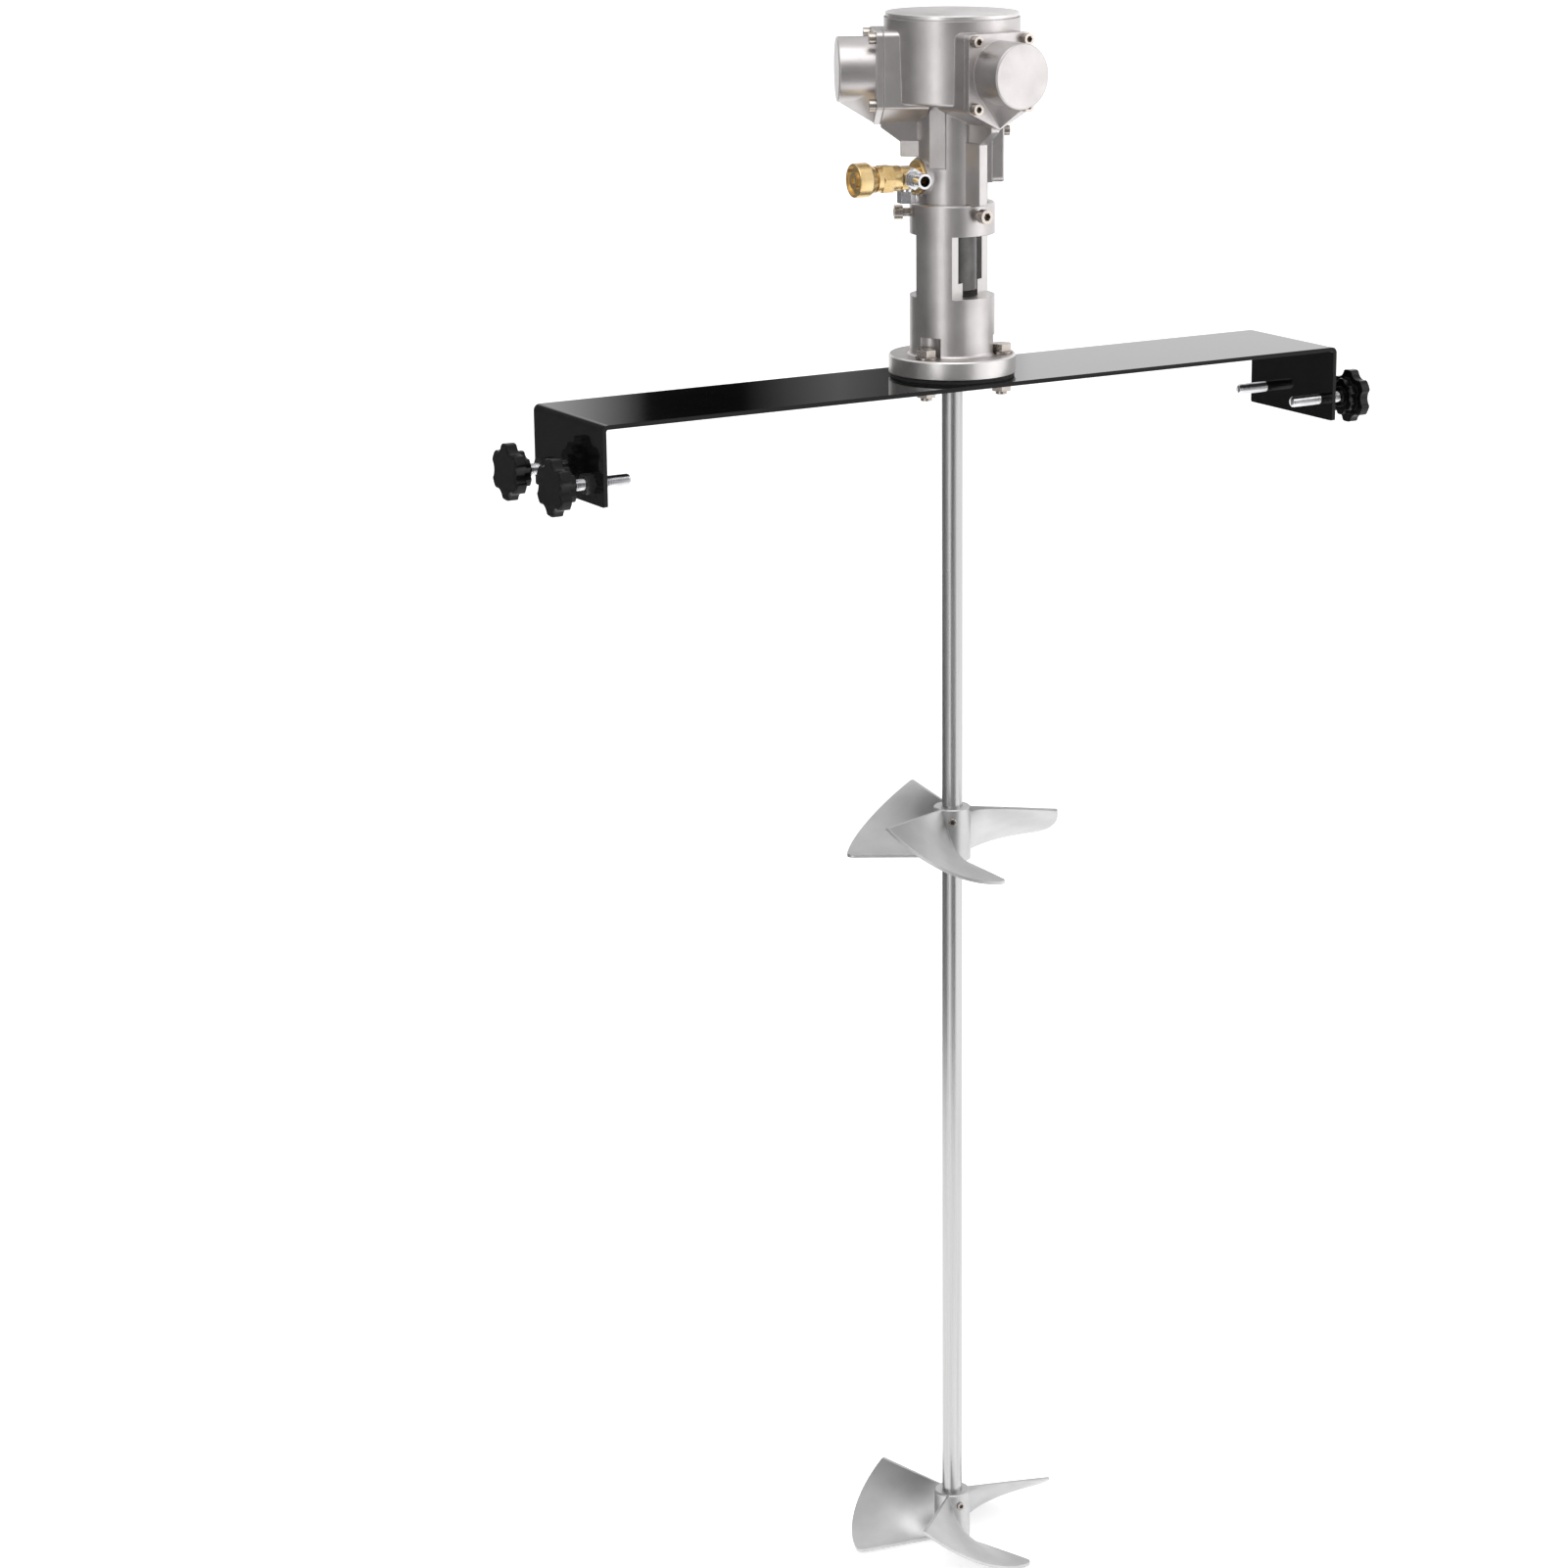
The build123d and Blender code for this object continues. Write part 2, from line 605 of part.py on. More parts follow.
strip_angles = [angle + 180 / cylinder_count for angle in cylinder_angles]
valve_rib = min(cylinder_angles, key=lambda angle: abs(angle - valve_angle))
with BuildPart() as crankcase:
    # round barrel with a drafted wall and rounded lower edge
    with BuildSketch(Plane.XY.offset(case_bottom)):
        Circle(case_dia / 2 - case_draft)
    extrude(amount=case_top - case_bottom, taper=-degrees(atan(case_draft / (case_top - case_bottom))))
    fillet(crankcase.edges().group_by(Axis.Z)[0], 2.5)
    # cylinder pods
    for angle in cylinder_angles:
        with BuildSketch(facing(angle, neck_dia / 2 - 6, cylinder_height)):
            add(pod_outline())
        extrude(amount=pod_face - neck_dia / 2 + 6)
    # neck with three flat strips and three drafted ribs that carry the air passages
    with BuildSketch(Plane.XY.offset(neck_bottom)):
        Circle(neck_dia / 2)
    extrude(amount=case_bottom + 2 - neck_bottom)
    for angle in strip_angles:
        with BuildSketch(Plane.XY.offset(strip_bottom).rotated((0, 0, angle))):
            with Locations((strip_reach / 2, 0)):
                Rectangle(strip_reach, strip_width)
        extrude(amount=case_bottom + 2 - strip_bottom)
    for angle in cylinder_angles:
        rib_bottom = valve_height + boss_dia / 2 if angle == valve_rib else collar_top + clear_gap
        with BuildSketch(Plane.XY.offset(rib_bottom).rotated((0, 0, angle))):
            with BuildLine():
                Polyline(
                    (0, -rib_root / 2),
                    (neck_dia / 2 - 1, -rib_root / 2),
                    (rib_reach, -rib_face / 2),
                    (rib_reach, rib_face / 2),
                    (neck_dia / 2 - 1, rib_root / 2),
                    (0, rib_root / 2),
                    close=True,
                )
            make_face()
        extrude(amount=rib_top - rib_bottom)
        # gusset that widens the rib out to the pod's pointed foot
        with BuildSketch(radial_section(angle)):
            with BuildLine():
                Polyline(
                    (neck_dia / 2 - 5, rib_top),
                    (rib_reach, rib_top - 1),
                    (pod_face, pod_point - 2),
                    (pod_face, pod_point + 4),
                    (neck_dia / 2 - 5, pod_point + 14),
                    close=True,
                )
            make_face()
        extrude(amount=rib_face / 2, both=True)
    # boss of the air inlet and pad of the exhaust cover
    with BuildSketch(facing(valve_angle, neck_bore / 2 + 2, valve_height)):
        Circle(boss_dia / 2)
    extrude(amount=valve_seat_reach - neck_bore / 2 - 2)
    with BuildSketch(facing(exhaust_angle, neck_bore / 2 + 2, (exhaust_bottom + exhaust_top) / 2)):
        Rectangle(exhaust_width, exhaust_top - exhaust_bottom)
    extrude(amount=exhaust_seat - neck_bore / 2 - 2)
    # crank chamber, bearing seats and neck bore
    with BuildSketch(Plane.XY.offset(case_bottom + case_floor)):
        Circle(case_bore / 2)
    extrude(amount=case_top, mode=Mode.SUBTRACT)
    with BuildSketch(Plane.XY.offset(crank_bearing_high)):
        Circle(bearing_dia / 2 + fit_gap)
    extrude(amount=case_bottom + case_floor - crank_bearing_high, mode=Mode.SUBTRACT)
    with BuildSketch(Plane.XY.offset(neck_bottom)):
        Circle(neck_bore / 2 + fit_gap)
    extrude(amount=crank_bearing_high - neck_bottom, mode=Mode.SUBTRACT)
    with BuildSketch(Plane.XY.offset(neck_bottom)):
        Circle(bearing_dia / 2 + fit_gap)
    extrude(amount=crank_bearing_low + bearing_width - neck_bottom, mode=Mode.SUBTRACT)
    # cylinder bores and the threaded holes of the head screws
    for angle in cylinder_angles:
        with BuildSketch(facing(angle, neck_dia / 2, cylinder_height)):
            Circle(liner_dia / 2 + fit_gap)
        extrude(amount=pod_face - neck_dia / 2, mode=Mode.SUBTRACT)
        with BuildSketch(facing(angle, pod_face, cylinder_height)):
            with GridLocations(head_screw_across, head_screw_high, 2, 2):
                Circle(head_screw_dia / 2 + fit_gap)
        extrude(amount=-head_screw_depth, mode=Mode.SUBTRACT)
    # air inlet and exhaust ports, through to the rotary valve's sleeve
    for angle, height in ((valve_angle, valve_height), (exhaust_angle, exhaust_port_height)):
        with BuildSketch(facing(angle, 0, height)):
            Circle(port_dia / 2)
        extrude(amount=neck_dia, mode=Mode.SUBTRACT)
crankcase.part.label = "crankcase"
export_step(crankcase.part, "parts/crankcase.step")

# Round cover on the barrel: a lipped disc with a spigot, sealed by a rubber ring.
ring_section = 2.6
spigot_depth = 6.0
seal_height = case_top - spigot_depth / 2
with BuildPart() as case_cover:
    with BuildSketch(Plane.XY.offset(case_top)):
        Circle(cover_dia / 2 - 1)
    extrude(amount=cover_thick)
    with BuildSketch(Plane.XY.offset(case_top + cover_groove)):
        Circle(cover_dia / 2)
    extrude(amount=cover_thick - cover_groove)
    fillet(case_cover.edges().group_by(Axis.Z)[-1], 0.8)
    with BuildSketch(Plane.XY.offset(case_top)):
        Circle(case_bore / 2 - running_gap)
        Circle(case_bore / 2 - 6, mode=Mode.SUBTRACT)
    extrude(amount=-spigot_depth)
    with BuildSketch(Plane.XY.offset(seal_height - ring_section / 2 - running_gap)):
        Circle(case_bore / 2)
        Circle(case_bore / 2 - ring_section, mode=Mode.SUBTRACT)
    extrude(amount=ring_section + 2 * running_gap, mode=Mode.SUBTRACT)
case_cover.part.label = "case_cover"
export_step(case_cover.part, "parts/case_cover.step")

with BuildPart() as cover_seal:
    with BuildSketch(Plane.XZ):
        with Locations((case_bore / 2 - ring_section / 2 - fit_gap, seal_height)):
            Circle(ring_section / 2 - fit_gap)
    revolve(axis=Axis.Z)
cover_seal.part.label = "cover_seal"
export_step(cover_seal.part, "parts/cover_seal.step")


# ---- cylinders ----------------------------------------------------------------------------------
head_seat = pod_face + head_gasket_thick
flange_face = head_seat + head_flange
head_roof = head_reach - head_wall
crown = head_roof - piston_clearance
gudgeon_reach = crown - 14
ring_width = 2.0
ring_depth = 2.2
shoe_centre = crank_throw + shoe_parking

with BuildPart() as head_gaskets:
    for angle in cylinder_angles:
        with BuildSketch(facing(angle, pod_face, cylinder_height)):
            add(pod_outline())
            Circle(liner_dia / 2 + fit_gap, mode=Mode.SUBTRACT)
            with GridLocations(head_screw_across, head_screw_high, 2, 2):
                Circle(head_screw_dia / 2 + fit_gap, mode=Mode.SUBTRACT)
        extrude(amount=head_gasket_thick)
head_gaskets.part.label = "head_gaskets"
export_step(head_gaskets.part, "parts/head_gaskets.step")

with BuildPart() as head_screws:
    for angle in cylinder_angles:
        for across in (-1, 1):
            for high in (-1, 1):
                screw_seat = facing(angle, flange_face, cylinder_height)
                screw_seat.origin = screw_seat.from_local_coords(
                    (across * head_screw_across / 2, high * head_screw_high / 2, 0)
                )
                add(cap_screw(screw_seat, head_screw_dia, flange_face - pod_face + 9, 8, 5, 4))
head_screws.part.label = "head_screws"
export_step(head_screws.part, "parts/head_screws.step")

for number, angle in enumerate(cylinder_angles, start=1):
    # head: flange with the pod's outline, a round drum and a pointed air passage under the drum
    with BuildPart() as cylinder_head:
        with BuildSketch(facing(angle, head_seat, cylinder_height)):
            add(pod_outline())
        extrude(amount=head_flange)
        with BuildSketch(facing(angle, head_seat, cylinder_height)):
            Circle(head_dia / 2)
        extrude(amount=head_reach - head_seat)
        drum_rim = cylinder_head.edges().filter_by(GeomType.CIRCLE)
        fillet(drum_rim.sort_by_distance(facing(angle, head_reach, cylinder_height).origin)[0], 1.2)
        wing = head_dia * 0.4
        wing_height = -head_dia * 0.3
        wedge_feet = (
            (flange_face, pod_point + 1 - cylinder_height),
            (head_reach - 1.2, -head_dia / 2 + 0.3),
        )
        for reach, foot in wedge_feet:
            with BuildSketch(facing(angle, reach, cylinder_height)):
                with BuildLine():
                    Polyline((0, foot), (wing, wing_height), (0, 0), (-wing, wing_height), close=True)
                make_face()
        loft(ruled=True)
        with BuildSketch(facing(angle, head_seat, cylinder_height)):
            Circle(liner_dia / 2 + fit_gap)
        extrude(amount=head_roof - head_seat, mode=Mode.SUBTRACT)
        with BuildSketch(facing(angle, head_seat, cylinder_height)):
            with GridLocations(head_screw_across, head_screw_high, 2, 2):
                Circle(head_screw_dia / 2 + fit_gap)
        extrude(amount=head_flange, mode=Mode.SUBTRACT)
    cylinder_head.part.label = f"cylinder_head_{number}"
    export_step(cylinder_head.part, f"parts/cylinder_head_{number}.step")

    with BuildPart() as piston:
        with BuildSketch(facing(angle, crown, cylinder_height)):
            Circle(liner_bore / 2 - running_gap)
        extrude(amount=-piston_length)
        with BuildSketch(facing(angle, crown - piston_length, cylinder_height)):
            Circle(liner_bore / 2 - 4)
        extrude(amount=piston_length - 5, mode=Mode.SUBTRACT)
        with BuildSketch(facing(angle, crown - 3 - ring_width, cylinder_height)):
            Circle(liner_bore / 2)
            Circle(liner_bore / 2 - ring_depth, mode=Mode.SUBTRACT)
        extrude(amount=ring_width, mode=Mode.SUBTRACT)
        with BuildSketch(upright(gudgeon_reach, angle, cylinder_height)):
            Circle(gudgeon_dia / 2 + fit_gap)
        extrude(amount=liner_bore, both=True, mode=Mode.SUBTRACT)
    piston.part.label = f"piston_{number}"
    export_step(piston.part, f"parts/piston_{number}.step")

    # connecting rod: an eye on the gudgeon pin, a flat shank and a curved shoe for the crank ring
    with BuildPart() as connecting_rod:
        with BuildSketch(upright(gudgeon_reach, angle, cylinder_height - rod_width / 2)):
            Circle(gudgeon_dia / 2 + 3)
        extrude(amount=rod_width)
        with BuildSketch(Plane.XY.offset(cylinder_height - rod_width / 2).rotated((0, 0, angle))):
            with Locations(((shoe_centre + crank_ring_dia / 2 + gudgeon_reach) / 2, 0)):
                Rectangle(gudgeon_reach - shoe_centre - crank_ring_dia / 2 - 2, rod_width)
        extrude(amount=rod_width)
        with BuildSketch(Plane.XY.offset(cylinder_height - shoe_height / 2).rotated((0, 0, angle))):
            with Locations((shoe_centre, 0)):
                Circle(crank_ring_dia / 2 + running_gap + shoe_thick)
                Circle(crank_ring_dia / 2 + running_gap, mode=Mode.SUBTRACT)
            with Locations((shoe_centre + crank_ring_dia / 2 + 5, 0)):
                Rectangle(14, shoe_width, mode=Mode.INTERSECT)
        extrude(amount=shoe_height)
        with BuildSketch(upright(gudgeon_reach, angle, cylinder_height)):
            Circle(gudgeon_dia / 2 + running_gap)
        extrude(amount=rod_width, both=True, mode=Mode.SUBTRACT)
    connecting_rod.part.label = f"connecting_rod_{number}"
    export_step(connecting_rod.part, f"parts/connecting_rod_{number}.step")

with BuildPart() as cylinder_liners:
    for angle in cylinder_angles:
        with BuildSketch(facing(angle, liner_inner, cylinder_height)):
            Circle(liner_dia / 2)
            Circle(liner_bore / 2, mode=Mode.SUBTRACT)
        extrude(amount=head_roof - liner_inner)
cylinder_liners.part.label = "cylinder_liners"
export_step(cylinder_liners.part, "parts/cylinder_liners.step")

with BuildPart() as piston_rings:
    for angle in cylinder_angles:
        with BuildSketch(facing(angle, crown - 3 - ring_width + fit_gap, cylinder_height)):
            Circle(liner_bore / 2 - fit_gap)
            Circle(liner_bore / 2 - ring_depth + 0.2, mode=Mode.SUBTRACT)
        extrude(amount=ring_width - 2 * fit_gap)
piston_rings.part.label = "piston_rings"
export_step(piston_rings.part, "parts/piston_rings.step")

gudgeon_length = liner_bore - 4
with BuildPart() as gudgeon_pins:
    for angle in cylinder_angles:
        with BuildSketch(upright(gudgeon_reach, angle, cylinder_height)):
            Circle(gudgeon_dia / 2)
        extrude(amount=gudgeon_length / 2, both=True)
gudgeon_pins.part.label = "gudgeon_pins"
export_step(gudgeon_pins.part, "parts/gudgeon_pins.step")

# ---- crankshaft and rotary valve ----------------------------------------------------------------
crank_angle = cylinder_angles[0]
crank_bottom = shaft_top + 2
with BuildPart() as crankshaft:
    with BuildSketch(Plane.XY.offset(crank_bottom)):
        Circle(shaft_dia / 2)
    extrude(amount=web_bottom - crank_bottom)
    with BuildSketch(Plane.XY.offset(crank_bearing_high + bearing_width)):
        Circle(shaft_dia / 2 + 2.5)
    extrude(amount=web_bottom - crank_bearing_high - bearing_width)
    with BuildSketch(Plane.XY.offset(web_bottom).rotated((0, 0, crank_angle))):
        Circle(crank_web_dia / 2)
        with Locations((crank_web_dia / 2, 0)):
            Rectangle(crank_web_dia, crank_web_dia, mode=Mode.SUBTRACT)
        Circle(shaft_dia / 2 + 4)
        with Locations((crank_throw, 0)):
            Circle(crank_pin_dia / 2 + 3)
    extrude(amount=web_thick)
    with BuildSketch(upright(crank_throw, crank_angle, web_bottom + web_thick)):
        Circle(crank_pin_dia / 2)
    extrude(amount=pin_top - web_bottom - web_thick)
crankshaft.part.label = "crankshaft"
export_step(crankshaft.part, "parts/crankshaft.step")

with BuildPart() as crank_ring:
    with BuildSketch(upright(crank_throw, crank_angle, cylinder_height - shoe_height / 2)):
        Circle(crank_ring_dia / 2)
        Circle(crank_pin_dia / 2 + fit_gap, mode=Mode.SUBTRACT)
    extrude(amount=shoe_height)
crank_ring.part.label = "crank_ring"
export_step(crank_ring.part, "parts/crank_ring.step")

# Bronze sleeve in the neck, and the slotted valve spool that turns in it with the crankshaft.
sleeve_bottom = crank_bearing_low + bearing_width
sleeve_top = crank_bearing_high
spool_dia = neck_bore - 6
with BuildPart() as valve_sleeve:
    add(ring(spool_dia, neck_bore, sleeve_bottom, sleeve_top - sleeve_bottom))
    for angle, height in ((valve_angle, valve_height), (exhaust_angle, exhaust_port_height)):
        with BuildSketch(facing(angle, 0, height)):
            Circle(port_dia / 2)
        extrude(amount=neck_bore, mode=Mode.SUBTRACT)
valve_sleeve.part.label = "valve_sleeve"
export_step(valve_sleeve.part, "parts/valve_sleeve.step")

spool_inset = 4.0
with BuildPart() as rotary_valve:
    spool_bottom = sleeve_bottom + spool_inset
    spool_length = sleeve_top - sleeve_bottom - 2 * spool_inset
    add(ring(shaft_dia + 2 * fit_gap, spool_dia - 2 * running_gap, spool_bottom, spool_length))
    for height, side in ((valve_height, 0), (exhaust_port_height, 180)):
        with BuildSketch(Plane.XY.offset(height - port_dia / 2)):
            with PolarLocations(spool_dia / 2, 1, crank_angle + side):
                Circle(port_dia / 2 - 2)
        extrude(amount=port_dia, mode=Mode.SUBTRACT)
rotary_valve.part.label = "rotary_valve"
export_step(rotary_valve.part, "parts/rotary_valve.step")

# ---- coupling and agitator shaft ----------------------------------------------------------------
grub_heights = [coupling_bottom + coupling_length * share for share in (0.14, 0.36, 0.72, 0.9)]
grub_angle = column_angle
with BuildPart() as drive_coupling:
    add(ring(shaft_dia + 2 * fit_gap, coupling_dia, coupling_bottom, coupling_length, 1.0))
    for height in grub_heights:
        with BuildSketch(facing(grub_angle, 0, height)):
            Circle(grub_dia / 2 + fit_gap)
        extrude(amount=coupling_dia, mode=Mode.SUBTRACT)
drive_coupling.part.label = "drive_coupling"
export_step(drive_coupling.part, "parts/drive_coupling.step")


def grub_screw(plane, length, socket_across):
    """Headless set screw that goes down into the plane, with a hexagon socket in its end."""
    with BuildPart() as screw:
        with BuildSketch(plane):
            Circle(grub_dia / 2)
        extrude(amount=-length)
        with BuildSketch(plane):
            RegularPolygon(socket_across / 2, 6, major_radius=False)
        extrude(amount=-length * 0.4, mode=Mode.SUBTRACT)
    return screw.part


with BuildPart() as coupling_screws:
    for height in grub_heights:
        grub_seat = facing(grub_angle, coupling_dia / 2 - 0.5, height)
        add(grub_screw(grub_seat, coupling_dia / 2 - 0.5 - shaft_dia / 2 - fit_gap, 3))
coupling_screws.part.label = "coupling_screws"
export_step(coupling_screws.part, "parts/coupling_screws.step")

with BuildPart() as agitator_shaft:
    with BuildSketch(Plane.XY.offset(shaft_bottom)):
        Circle(shaft_dia / 2)
    extrude(amount=shaft_top - shaft_bottom)
    chamfer(agitator_shaft.edges().filter_by(GeomType.CIRCLE), 1.0)
agitator_shaft.part.label = "agitator_shaft"
export_step(agitator_shaft.part, "parts/agitator_shaft.step")


# ---- impellers ----------------------------------------------------------------------------------
def blade_line(radius, first, hub_top):
    """Curve of a blade at one radius: it leaves the hub top steeply and levels out at the foot."""
    drop = hub_height - blade_thick / 2 - 0.3
    shares = [-0.06 + 1.12 * step / 8 for step in range(9)]
    return Edge.make_spline(
        [
            Vector(
                radius * cos(radians(first + blade_sweep * share)),
                radius * sin(radians(first + blade_sweep * share)),
                hub_top - drop * sin(pi / 2 * share),
            )
            for share in shares
        ]
    )


impellers = (
    ("upper_impeller", upper_blade_angle, upper_hub_top),
    ("lower_impeller", lower_blade_angle, lower_hub_top),
)
blade_starts = [360 / blade_count * number for number in range(blade_count)]
for name, first_angle, hub_top in impellers:
    with BuildPart() as impeller:
        for start in blade_starts:
            first = first_angle + start
            skin = Face.make_surface_from_curves(
                blade_line(hub_dia / 2 - 2.5, first, hub_top),
                blade_line(impeller_dia / 2 + 4, first, hub_top),
            )
            blade_stock = Solid.thicken(skin, blade_thick / 2) + Solid.thicken(skin, -blade_thick / 2)
            add(blade_stock)
    with BuildPart() as impeller_outline:
        for start in blade_starts:
            first = first_angle + start
            tip = impeller_dia / 2
            with BuildSketch(Plane.XY.offset(hub_top - hub_height).rotated((0, 0, first))) as blade_plan:
                with BuildLine():
                    Line((0, 0), (tip, 0))
                    CenterArc((0, 0), tip, 0, blade_sweep)
                    Line((tip * cos(radians(blade_sweep)), tip * sin(radians(blade_sweep))), (0, 0))
                make_face()
                fillet(blade_plan.vertices().sort_by(Axis.Y)[-1], blade_corner)
            extrude(amount=hub_height)
    with BuildPart() as finished:
        add(impeller.part)
        add(impeller_outline.part, mode=Mode.INTERSECT)
        add(ring(0, hub_dia, hub_top - hub_height, hub_height, 0.8))
        with BuildSketch(Plane.XY.offset(hub_top - hub_height)):
            Circle(shaft_dia / 2 + fit_gap)
        extrude(amount=hub_height, mode=Mode.SUBTRACT)
        with BuildSketch(facing(first_angle + hub_screw_angle, 0, hub_top - hub_screw_drop)):
            Circle(grub_dia / 2 + fit_gap)
        extrude(amount=hub_dia, mode=Mode.SUBTRACT)
    finished.part.label = name
    export_step(finished.part, f"parts/{name}.step")

with BuildPart() as impeller_screws:
    for name, first_angle, hub_top in impellers:
        grub_seat = facing(first_angle + hub_screw_angle, hub_dia / 2 - 0.6, hub_top - hub_screw_drop)
        add(grub_screw(grub_seat, hub_dia / 2 - 0.6 - shaft_dia / 2 - fit_gap, 3))
impeller_screws.part.label = "impeller_screws"
export_step(impeller_screws.part, "parts/impeller_screws.step")

# ---- air inlet valve ----------------------------------------------------------------------------
branch = facing(valve_angle, valve_branch, valve_height).origin
plug_turn = radians(plug_angle)
plug_axis = Plane(origin=branch, x_dir=(0, 0, 1), z_dir=(cos(plug_turn), sin(plug_turn), 0))
valve_turn = radians(valve_angle)
drain_axis = Plane(origin=branch, x_dir=(-sin(valve_turn), cos(valve_turn), 0), z_dir=(0, 0, -1))
body_radius = valve_body_dia / 2
tee_half = tee_across / 2
knob_start = valve_body_end + gland_length + clear_gap
# Turned body with a flange on the boss, a square tee for the two branches and a hexagon for the spanner.
with BuildPart() as valve_body:
    with BuildSketch(facing(valve_angle, valve_seat_reach, valve_height)):
        Circle(valve_flange_dia / 2)
    extrude(amount=valve_flange_thick)
    chamfer(valve_body.edges().filter_by(GeomType.CIRCLE), 0.5)
    with BuildSketch(facing(valve_angle, valve_branch - tee_length / 2, valve_height)):
        RectangleRounded(tee_across, tee_across, 1.5)
    extrude(amount=tee_length)
    with BuildSketch(facing(valve_angle, valve_branch + tee_length / 2, valve_height)):
        Circle(body_radius)
    extrude(amount=valve_body_end - valve_branch - tee_length / 2)
    with BuildSketch(facing(valve_angle, valve_body_end - valve_hexagon_set, valve_height)):
        RegularPolygon(body_radius, 6, major_radius=False)
    extrude(amount=valve_hexagon_length)
    with BuildSketch(facing(valve_angle, valve_body_end, valve_height)):
        Circle(gland_dia / 2)
    extrude(amount=gland_length)
    with BuildSketch(facing(valve_angle, valve_seat_reach, valve_height)):
        Circle(valve_bore / 2)
    extrude(amount=valve_body_end - valve_hexagon_length - valve_seat_reach, mode=Mode.SUBTRACT)
    with BuildSketch(facing(valve_angle, valve_seat_reach, valve_height)):
        Circle(valve_stem_dia / 2 + running_gap)
    extrude(amount=valve_body_end + gland_length - valve_seat_reach, mode=Mode.SUBTRACT)
    with BuildSketch(plug_axis):
        Circle(plug_bore / 2)
    extrude(amount=tee_across, mode=Mode.SUBTRACT)
valve_body.part.label = "valve_body"
export_step(valve_body.part, "parts/valve_body.step")

# Air plug of a quick coupling: hexagon base, waisted stem and open end.
plug_hexagon = 5.0
plug_shoulder = 3.0
plug_mouth = 6.0
plug_waist = 1.0
with BuildPart() as air_plug:
    with BuildSketch(plug_axis.offset(tee_half + fit_gap)):
        RegularPolygon(plug_across / 2, 6, major_radius=False)
    extrude(amount=plug_hexagon)
    with BuildSketch(plug_axis.offset(tee_half + plug_hexagon)):
        Circle(plug_dia / 2 - plug_waist)
    extrude(amount=plug_reach - tee_half - plug_hexagon)
    shoulder = tee_half + plug_hexagon
    for low, high in ((shoulder, shoulder + plug_shoulder), (plug_reach - plug_mouth, plug_reach)):
        with BuildSketch(plug_axis.offset(low)):
            Circle(plug_dia / 2)
        extrude(amount=high - low)
    with BuildSketch(plug_axis):
        Circle(plug_bore / 2)
    extrude(amount=plug_reach, mode=Mode.SUBTRACT)
air_plug.part.label = "air_plug"
export_step(air_plug.part, "parts/air_plug.step")

blind_collar = 2.0
blind_hexagon = 8.0
with BuildPart() as blind_plug:
    with BuildSketch(drain_axis.offset(tee_half + fit_gap)):
        Circle(blind_collar_dia / 2)
    extrude(amount=blind_collar)
    with BuildSketch(drain_axis.offset(tee_half + blind_collar)):
        RegularPolygon(blind_across / 2, 6, major_radius=False)
    extrude(amount=blind_hexagon)
blind_plug.part.label = "blind_plug"
export_step(blind_plug.part, "parts/blind_plug.step")

needle_tip = valve_branch + plug_bore / 2 + 1
with BuildPart() as valve_needle:
    with BuildSketch(facing(valve_angle, needle_tip, valve_height)):
        Circle(valve_stem_dia / 2)
    extrude(amount=knob_start + valve_knob_length - 4 - needle_tip)
    chamfer(valve_needle.edges().filter_by(GeomType.CIRCLE).sort_by_distance(branch)[0], 1.6)
valve_needle.part.label = "valve_needle"
export_step(valve_needle.part, "parts/valve_needle.step")

with BuildPart() as valve_knob:
    with BuildSketch(facing(valve_angle, knob_start, valve_height)):
        Circle(body_radius)
    with BuildSketch(facing(valve_angle, knob_start + valve_knob_taper, valve_height)):
        Circle(valve_knob_dia / 2)
    loft()
    with BuildSketch(facing(valve_angle, knob_start + valve_knob_taper, valve_height)):
        Circle(valve_knob_dia / 2)
    extrude(amount=valve_knob_length - valve_knob_taper)
    knob_face = facing(valve_angle, knob_start + valve_knob_length, valve_height)
    fillet(valve_knob.edges().filter_by(GeomType.CIRCLE).sort_by_distance(knob_face.origin)[0], 0.8)
    with BuildSketch(knob_face):
        Circle(valve_knob_dia / 2 - valve_knob_rim)
        Circle(valve_knob_boss / 2, mode=Mode.SUBTRACT)
    extrude(amount=-1.6, mode=Mode.SUBTRACT)
    with BuildSketch(knob_face):
        Circle(valve_knob_eye / 2)
    extrude(amount=-1.8, mode=Mode.SUBTRACT)
    with BuildSketch(facing(valve_angle, knob_start, valve_height)):
        Circle(valve_stem_dia / 2 + running_gap)
    extrude(amount=valve_knob_length - 4 + clear_gap, mode=Mode.SUBTRACT)
valve_knob.part.label = "valve_knob"
export_step(valve_knob.part, "parts/valve_knob.step")

